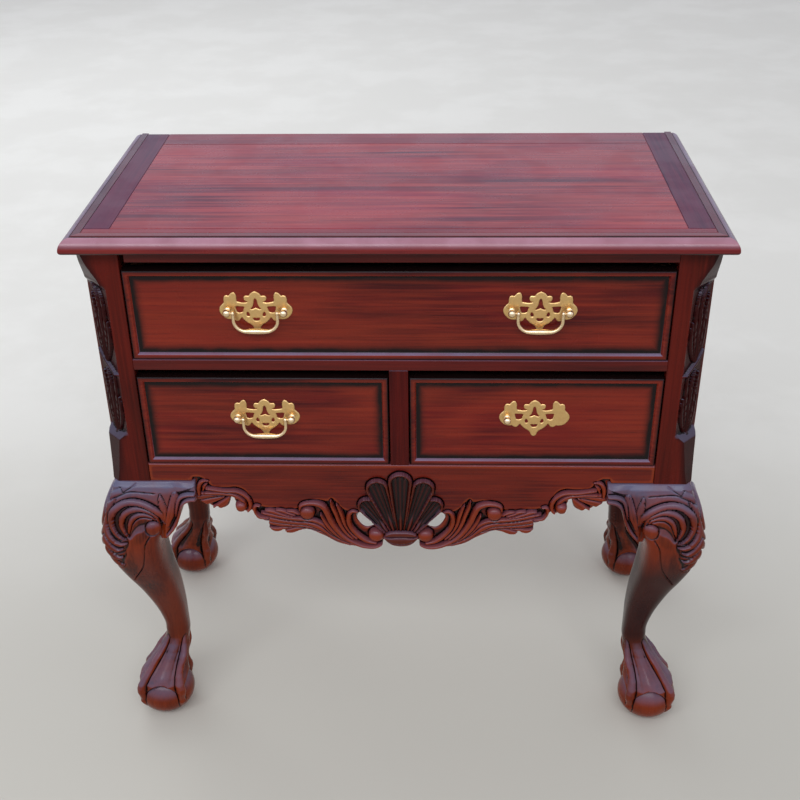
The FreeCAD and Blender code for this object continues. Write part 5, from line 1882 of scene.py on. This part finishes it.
@dataclass
class KneeBlocks:
    """Carved blocks that carry the knee over to the apron and to the side.

    Its outline is a smooth line under the block, then a straight one inside the leg and over it.
    """

    hand: Hand
    thickness: float = 27.0
    spacing: float = 1.2
    arris: float = 2.0
    under: tuple = (
        (117.7, 31), (107, 33.5), (100, 40), (97, 47), (95, 58), (91.5, 68), (87, 77), (81, 85), (75, 91),
        (69, 95), (64, 90), (63, 70))
    over: tuple = ((63, 70), (63, 40), (80, 20), (84, 0), (121.4, 0), (121.4, 31))

    def face(self, points: np.ndarray) -> np.ndarray:
        """The uncarved face: the knee's at the leg, a ledge at the apron.

        Args:
            points: (across, drop) of each point.

        Returns:
            Height above the front.
        """
        across, drop = points.T
        knee = knee_bulge(drop) * knee_turn(across) + 0.5
        end = np.interp(drop, (0, 8, 22, 34, 60, 100), (0.0, 8.0, 8.5, 8.5, 14.0, 14.0))
        level = knee + (end - knee) * ease(84, 118, across)
        return level - 7.0 * ease(76, 66, across)

    def shape(self) -> Shape:
        """Block between the right front leg and the apron.

        Returns:
            The block, in (inward, forward, down) sizes.
        """
        outline = np.vstack([flowing(self.under, 1.5), straight(self.over, 3.0)[1:]])
        return relief_plate(
            outline, [], self.spacing, lambda p: carved(BLOCK_CARVING, p) * ease(0, 3, p[:, 1]),
            lambda p: -self.face(p), self.thickness - 4, self.arris)

    def build(self) -> None:
        """Front block and its twin on the side, turned about the leg's corner."""
        plate = self.shape()
        across, forward, drop = plate.points.T
        facing = np.column_stack([self.hand.value * (SIDE - across), FRONT + forward, LEG_TOP - drop])
        aside = np.column_stack([self.hand.value * (SIDE - forward), FRONT + across, LEG_TOP - drop])
        sides = [plate.faces, [f[::-1] for f in plate.faces]][::self.hand.value]
        both = Shape(facing, sides[0]).joined(Shape(aside, sides[1]))
        # painted sheen along the top of the blocks
        both.traces[Trace.BLOOM] = knee_sheen_boost(LEG_TOP - both.points[:, 2])
        make_piece("knee_blocks_" + self.hand.word, both, LEG_WOOD, "case",
                   ["knee_blocks_front_" + self.hand.word], sharp=60, carved=True)


@dataclass
class Stand:
    """The four legs and their knee blocks.

    For each hand: inset of the front foot, and how dark painted shade makes the front and the rear
    shaft; the right front leg stands in shade and is painted darker.
    """

    legs: tuple = ((Hand.LEFT, 26.5, 0.3, 0.5), (Hand.RIGHT, 23.0, 0.85, 0.5))
    rear_inset: float = 6.0

    def build(self) -> None:
        """Builds all legs and blocks."""
        for hand, inset, stain, rear_shade in self.legs:
            CabrioleLeg(hand, True, inset, stain, columns=248, row_step=1.2).build()
            CabrioleLeg(hand, False, self.rear_inset, rear_shade, columns=144, row_step=2.0).build()
            KneeBlocks(hand).build()
            dress(LEG_WOOD, "knee_block_rear_" + hand.word)


# --- drawers and handles --------------------------------------------------------------------


@dataclass
class Drawer:
    """Drawer with a lipped front and a box of bare wood.

    Lift and reveal are the gaps below and above the front. The profile's rows are (inset, depth
    behind the case's front, hollow trace) of the nested rectangles on its face; the high traces of
    the outer rows paint shadow at the front's edges, where it meets the gaps round it.
    """

    name: str
    x0: float
    x1: float
    floor: float
    opening: float
    side_gap: float = 1.5
    lift: float = 0.5
    reveal: float = 12.0
    thickness: float = 20.0
    # the first rows paint shadow along the front's edges
    profile: tuple = (
        (0.0, 2.6, 1.0), (0.5, 1.3, 0.9), (1.6, 0.3, 0.42), (3.0, 0.0, 0.34), (5.6, 0.0, 0.29),
        (6.6, 0.4, 0.0), (7.4, 1.2, -0.1), (8.6, 2.8, 0.0), (9.3, 4.4, 0.44), (10.2, 4.9, 0.52),
        (11.2, 4.7, 0.47), (13.5, FIELD_DEPTH, 0.44), (19.0, FIELD_DEPTH, 0.31), (32.0, FIELD_DEPTH, 0.1))

    @property
    def middle(self) -> float:
        """Height of the middle of the front, leaving out the lift."""
        return self.floor + (self.opening - self.reveal) / 2

    def build(self) -> None:
        """Front with its lip and dark sunk edge; the box keeps its CAD boards."""
        left, right = self.x0 + self.side_gap, self.x1 - self.side_gap
        bottom, top = self.floor + self.lift, self.floor + self.opening - self.reveal
        rings = [(inset, FRONT + depth, shade) for inset, depth, shade in self.profile]
        shape = nested_front(rings, left, right, bottom, top, FRONT + self.thickness)
        make_piece(self.name + "_face", shape, DRAWER_WOOD, self.name,
                   [self.name + "_front"], sharp=50)
        for part in ("side_left", "side_right", "back", "bottom"):
            dress(DRAWER_BOX_WOOD, f"{self.name}_{part}")


# Right half of the plate's edge, piercings of each side, and right halves of those in its middle.
PLATE_EDGE = (
    (0.0, 27.7), (5.2, 25.0), (8.3, 20.8), (14.2, 20.6), (15.0, 15.6), (13.2, 13.4), (10.6, 13.0),
    (11.0, 12.0), (12.4, 11.4), (18.0, 11.2), (24.2, 12.6), (25.2, 15.0), (24.8, 19.6), (28.6, 26.3),
    (35.0, 21.2), (40.6, 20.8), (42.6, 14.6), (42.4, 12.2), (43.6, 9.6), (49.2, 0.2), (43.6, -10.4),
    (38.0, -13.2), (31.0, -13.2), (25.6, -16.0), (21.4, -12.8), (20.4, -11.4), (19.4, -10.6), (16.6, -14.6),
    (11.6, -19.2), (6.6, -22.6), (4.4, -26.8), (2.6, -29.8), (0.0, -31.0))
PLATE_PIERCINGS = (
    ((15.8, 4.8), (21.2, 5.6), (26.8, 5.4), (26.6, 1.2), (24.8, -3.0), (20.8, -3.4), (17.8, -2.2),
     (16.6, 1.2)),
    ((11.4, -2.6), (13.0, -6.0), (12.0, -8.8), (10.0, -9.2), (8.6, -8.0), (9.2, -4.8)))
PLATE_MIDDLE = (
    ((0.0, 17.2), (1.6, 15.6), (2.4, 12.0), (4.0, 6.0), (7.0, 2.0), (4.6, 1.4), (0.0, 3.4)),
    ((0.0, -16.0), (3.2, -15.2), (4.9, -11.8), (2.6, -11.4), (0.0, -12.0)))


@dataclass
class Handle:
    """Pierced backplate, posts and a swinging bail."""

    prefix: str
    drawer: str
    x: float
    z: float
    has_bail: bool
    boring: float = 76.2
    plate: float = 1.8
    standoff: float = 9.2
    shank: float = 15.5
    pin: float = 8.8
    bail_gap: float = 8.4
    bail_drop: float = 27.0
    bail_bend: float = 16.0

    @property
    def arm(self) -> float:
        """Distance of the bail's arms from its middle."""
        return self.boring / 2 - self.bail_gap

    @property
    def base(self) -> float:
        """y of the drawer's field, which the plate lies on."""
        return FRONT + FIELD_DEPTH

    @property
    def axis(self) -> float:
        """y of the bail's axis, seen from the base."""
        return -self.plate - self.standoff

    def backplate(self) -> Shape:
        """Plate with bevelled edges.

        Returns:
            The plate.
        """
        outline = both_halves(smooth_arcs(PLATE_EDGE))[::-1]
        holes = []
        for pairs in PLATE_PIERCINGS:
            holes += and_mirrored(flowing(pairs, 0.7, True))
        holes += [both_halves(smooth_arcs(pairs)) for pairs in PLATE_MIDDLE]
        plate = relief_plate(outline, holes, 0.8, lambda p: np.zeros(len(p)),
                             lambda p: np.full(len(p), -self.plate), -0.02, 1.1)
        plate.points += np.array([self.x, self.base, self.z])
        return plate

    def post(self, side: int) -> Shape:
        """Turned post, its shank through the drawer front and its nut.

        Args:
            side: -1 for the left post and 1 for the right one.

        Returns:
            The post.
        """
        face, rear = -self.plate, self.shank
        head = [(self.axis + 4.8 * math.cos(a), 5.4 * math.sin(a)) for a in np.linspace(math.pi, 0.65, 12)]
        collar = [(self.axis + 4.2, 2.8), (face - 3.0, 2.7), (face - 2.2, 3.2), (face - 1.7, 4.4),
                  (face - 0.6, 4.6), (face, 4.3)]
        nut = [(face, 2.0), (rear, 2.0), (rear, 4.6), (rear + 2.6, 4.6), (rear + 3.2, 4.0), (rear + 3.2, 0.0)]
        return lathe(head + collar + nut, (self.x + side * self.boring / 2, self.base, self.z), Axis.Y, 26)

    def bail_line(self) -> np.ndarray:
        """Middle line of the bail as (x, z) from its axis, from the left end to the right one.

        Returns:
            The points.
        """
        arm, drop, bend = self.arm, self.bail_drop, self.bail_bend
        left = [(-arm, -(drop - bend) * k / 4) for k in range(5)]
        left += [(-arm + bend * (1 - math.cos(a)), -(drop - bend) - bend * math.sin(a))
                 for a in np.linspace(0, math.pi / 2, 12)[1:]]
        left += [(-(arm - bend) * k / 8, -drop) for k in range(7, -1, -1)]
        return np.array(left + [(-x, z) for x, z in reversed(left[:-1])])

    def bail(self) -> Shape:
        """Bail with knobs at its ends, swelled in the middle.

        Returns:
            The bail.
        """
        line = self.bail_line()
        middle = np.clip(np.cos(np.clip(np.abs(line[:, 0]) / 21, 0, 1) * math.pi / 2), 0, 1)
        swell = 2.4 + 1.5 * middle * (line[:, 1] < 1 - self.bail_drop)
        swell += 0.5 * np.exp(-(line[:, 1] / 3.0) ** 2)
        axis = self.base + self.axis
        path = np.column_stack([self.x + line[:, 0], np.full(len(line), axis), self.z + line[:, 1]])
        shape = tube(path, swell, (0, 1, 0), 18)
        knob = [(2.9 * math.cos(a), 3.6 * math.sin(a)) for a in np.linspace(math.pi, 0, 11)]
        tip = self.pin
        for side in (-1, 1):
            end = (self.x + side * self.arm, axis, self.z)
            pin = [(0.0, 0.0), (0.0, 1.5), (tip - 0.3, 1.5), (tip, 1.2), (tip, 0.0)]
            pin = pin if side > 0 else [(-along, radius) for along, radius in reversed(pin)]
            shape = shape.joined(lathe(knob, end, Axis.X, 18)).joined(lathe(pin, end, Axis.X, 14))
        return shape

    def build(self) -> None:
        """Plate and posts ride on the drawer, the bail on its own body."""
        make_piece(self.prefix + "_backplate", self.backplate(), PLATE_BRASS, self.drawer,
                   [self.prefix + "_handle_plate"], carved=True)
        posts = self.post(-1)
        if self.has_bail:
            posts = posts.joined(self.post(1))
        make_piece(self.prefix + "_turned_posts", posts, BAIL_BRASS, self.drawer,
                   [self.prefix + "_handle_posts"])
        if self.has_bail:
            make_piece(self.prefix + "_swing_bail", self.bail(), BAIL_BRASS, self.prefix + "_bail",
                       [self.prefix + "_handle_bail"])


def smooth_arcs(pairs: Pairs) -> np.ndarray:
    """Joins arcs that each run through three points and meet at every second one.

    Args:
        pairs: The points.

    Returns:
        Array of points along the arcs.
    """
    rows = []
    ctrl = np.asarray(pairs, float)
    for i in range(0, len(ctrl) - 2, 2):
        a, m, b = ctrl[i:i + 3]
        bulge = 2 * m - (a + b) / 2
        pieces = max(2, int(np.linalg.norm(b - a) / 0.8) + 1)
        t = np.linspace(0, 1, pieces, endpoint=False)[:, None]
        rows.append((1 - t) ** 2 * a + 2 * t * (1 - t) * bulge + t ** 2 * b)
    rows.append(ctrl[-1:])
    return np.vstack(rows)


@dataclass
class Drawers:
    """The three drawers with their four handles."""

    upper_floor: float = 665.0
    lower_floor: float = 493.0
    upper_opening: float = 145.0
    lower_opening: float = 156.0
    divider: float = 26.4
    rise: float = 8.0
    upper_offset: float = 190.0

    def build(self) -> None:
        """Builds drawers and handles."""
        half = self.divider / 2
        top = Drawer("top_drawer", -OPENING_HALF, OPENING_HALF, self.upper_floor, self.upper_opening)
        left = Drawer("left_drawer", -OPENING_HALF, -half, self.lower_floor, self.lower_opening)
        right = Drawer("right_drawer", half, OPENING_HALF, self.lower_floor, self.lower_opening)
        for drawer in (top, left, right):
            drawer.build()
        offset = (OPENING_HALF + half) / 2
        for prefix, drawer, x, has_bail in (
                ("top_left", top, -self.upper_offset, True), ("top_right", top, self.upper_offset, True),
                ("lower_left", left, -offset, True), ("lower_right", right, offset, False)):
            Handle(prefix, drawer.name, x, drawer.middle + self.rise, has_bail).build()


# --- studio ---------------------------------------------------------------------------------


@dataclass(frozen=True)
class Window:
    """Wide soft lamp that hangs in the air; one that is mirrored also shows in the lacquer."""

    name: str
    spot: tuple[float, float, float]
    aim: tuple[float, float, float]
    size: tuple[float, float]
    power: float
    mirrored: bool

    def build(self) -> None:
        """Hangs the lamp and turns it to its aim."""
        lamp = bpy.data.lights.new(self.name, "AREA")
        lamp.shape = "RECTANGLE"
        lamp.size, lamp.size_y = self.size
        lamp.energy = self.power
        lamp.color = (0.94, 0.97, 1.0)
        holder = bpy.data.objects.new(self.name, lamp)
        bpy.context.scene.collection.objects.link(holder)
        holder.location = self.spot
        holder.visible_glossy = self.mirrored
        holder.rotation_euler = (Vector(self.aim) - Vector(self.spot)).to_track_quat("-Z", "Y").to_euler()


@dataclass
class Studio:
    """Floor, soft light and camera; lengths are metres, angles radians and colours linear."""

    eye: tuple[float, float, float] = (0.0526, -1.5845, 1.4227)
    pitch: float = 0.5352
    yaw: float = -0.0369
    roll: float = -0.0148
    lens: float = 51.963
    sensor: float = 36.0
    span: float = 15.0
    cells: int = 24
    windows: tuple[Window, ...] = (
        Window("high_window", (-0.4, -2.7, 3.0), (0, 0, 0.5), (4.4, 1.0), 76, True),
        Window("back_window", (-2.0, 3.2, 3.2), (-0.6, 1.9, 0.0), (3.6, 2.4), 46, False))
    room_colour: tuple = (0.52, 0.52, 0.53, 1)
    mirrored_colour: tuple = (1.0, 1.08, 1.35, 1)
    seen_colour: tuple = (0.78, 0.84, 0.92, 1)

    def floor(self) -> None:
        """Large pale floor."""
        ticks = np.linspace(-self.span, self.span, self.cells + 1)
        mesh = bpy.data.meshes.new("floor")
        mesh.from_pydata([(x, y, 0.0) for y in ticks for x in ticks], [],
                         grid_faces(self.cells + 1, self.cells + 1, False))
        show("floor", mesh, Floor("floor"))

    def sky(self) -> None:
        """Even light from all round, with one colour where it shows and another in mirrors."""
        world = bpy.data.worlds.new("sky")
        world.use_nodes = True
        world.node_tree.nodes.clear()
        s = Sketch(world.node_tree)
        path = s.tree.nodes.new("ShaderNodeLightPath").outputs
        mirrored = s.math("MAXIMUM", path["Is Glossy Ray"], path["Is Transmission Ray"])
        colour = s.blend(mirrored, self.room_colour, self.mirrored_colour)
        colour = s.blend(path["Is Camera Ray"], colour, self.seen_colour)
        output = s.tree.nodes.new("ShaderNodeOutputWorld")
        s.put(output.inputs["Surface"], s.node("Background", Color=colour, Strength=1.0))
        bpy.context.scene.world = world

    def camera(self) -> None:
        """Camera that looks down on the front from a little to the right."""
        cp, sp = math.cos(self.pitch), math.sin(self.pitch)
        ahead = Vector((math.sin(self.yaw) * cp, math.cos(self.yaw) * cp, -sp))
        level = Vector((math.cos(self.yaw), -math.sin(self.yaw), 0))
        up = level.cross(ahead)
        cr, sr = math.cos(self.roll), math.sin(self.roll)
        right = level * cr + up * sr
        top = up * cr - level * sr
        data = bpy.data.cameras.new("camera")
        data.sensor_width = self.sensor
        data.lens = self.lens
        camera = bpy.data.objects.new("camera", data)
        bpy.context.scene.collection.objects.link(camera)
        turn = Matrix((right, top, -ahead)).transposed()
        camera.matrix_world = Matrix.Translation(self.eye) @ turn.to_4x4()
        bpy.context.scene.camera = camera

    def build(self) -> None:
        """Sets the stage."""
        bpy.context.scene.view_settings.view_transform = "Standard"
        self.floor()
        for window in self.windows:
            window.build()
        self.sky()
        self.camera()


def main() -> None:
    """Builds the lowboy and its studio in order."""
    logging.basicConfig(level=logging.INFO, format="%(name)s %(message)s")
    for part in (Top(), Case(), Apron(), Stand(), Drawers(), Studio()):
        part.build()
        LOG.info("%s done", type(part).__name__)


if __name__ == "__main__":
    main()
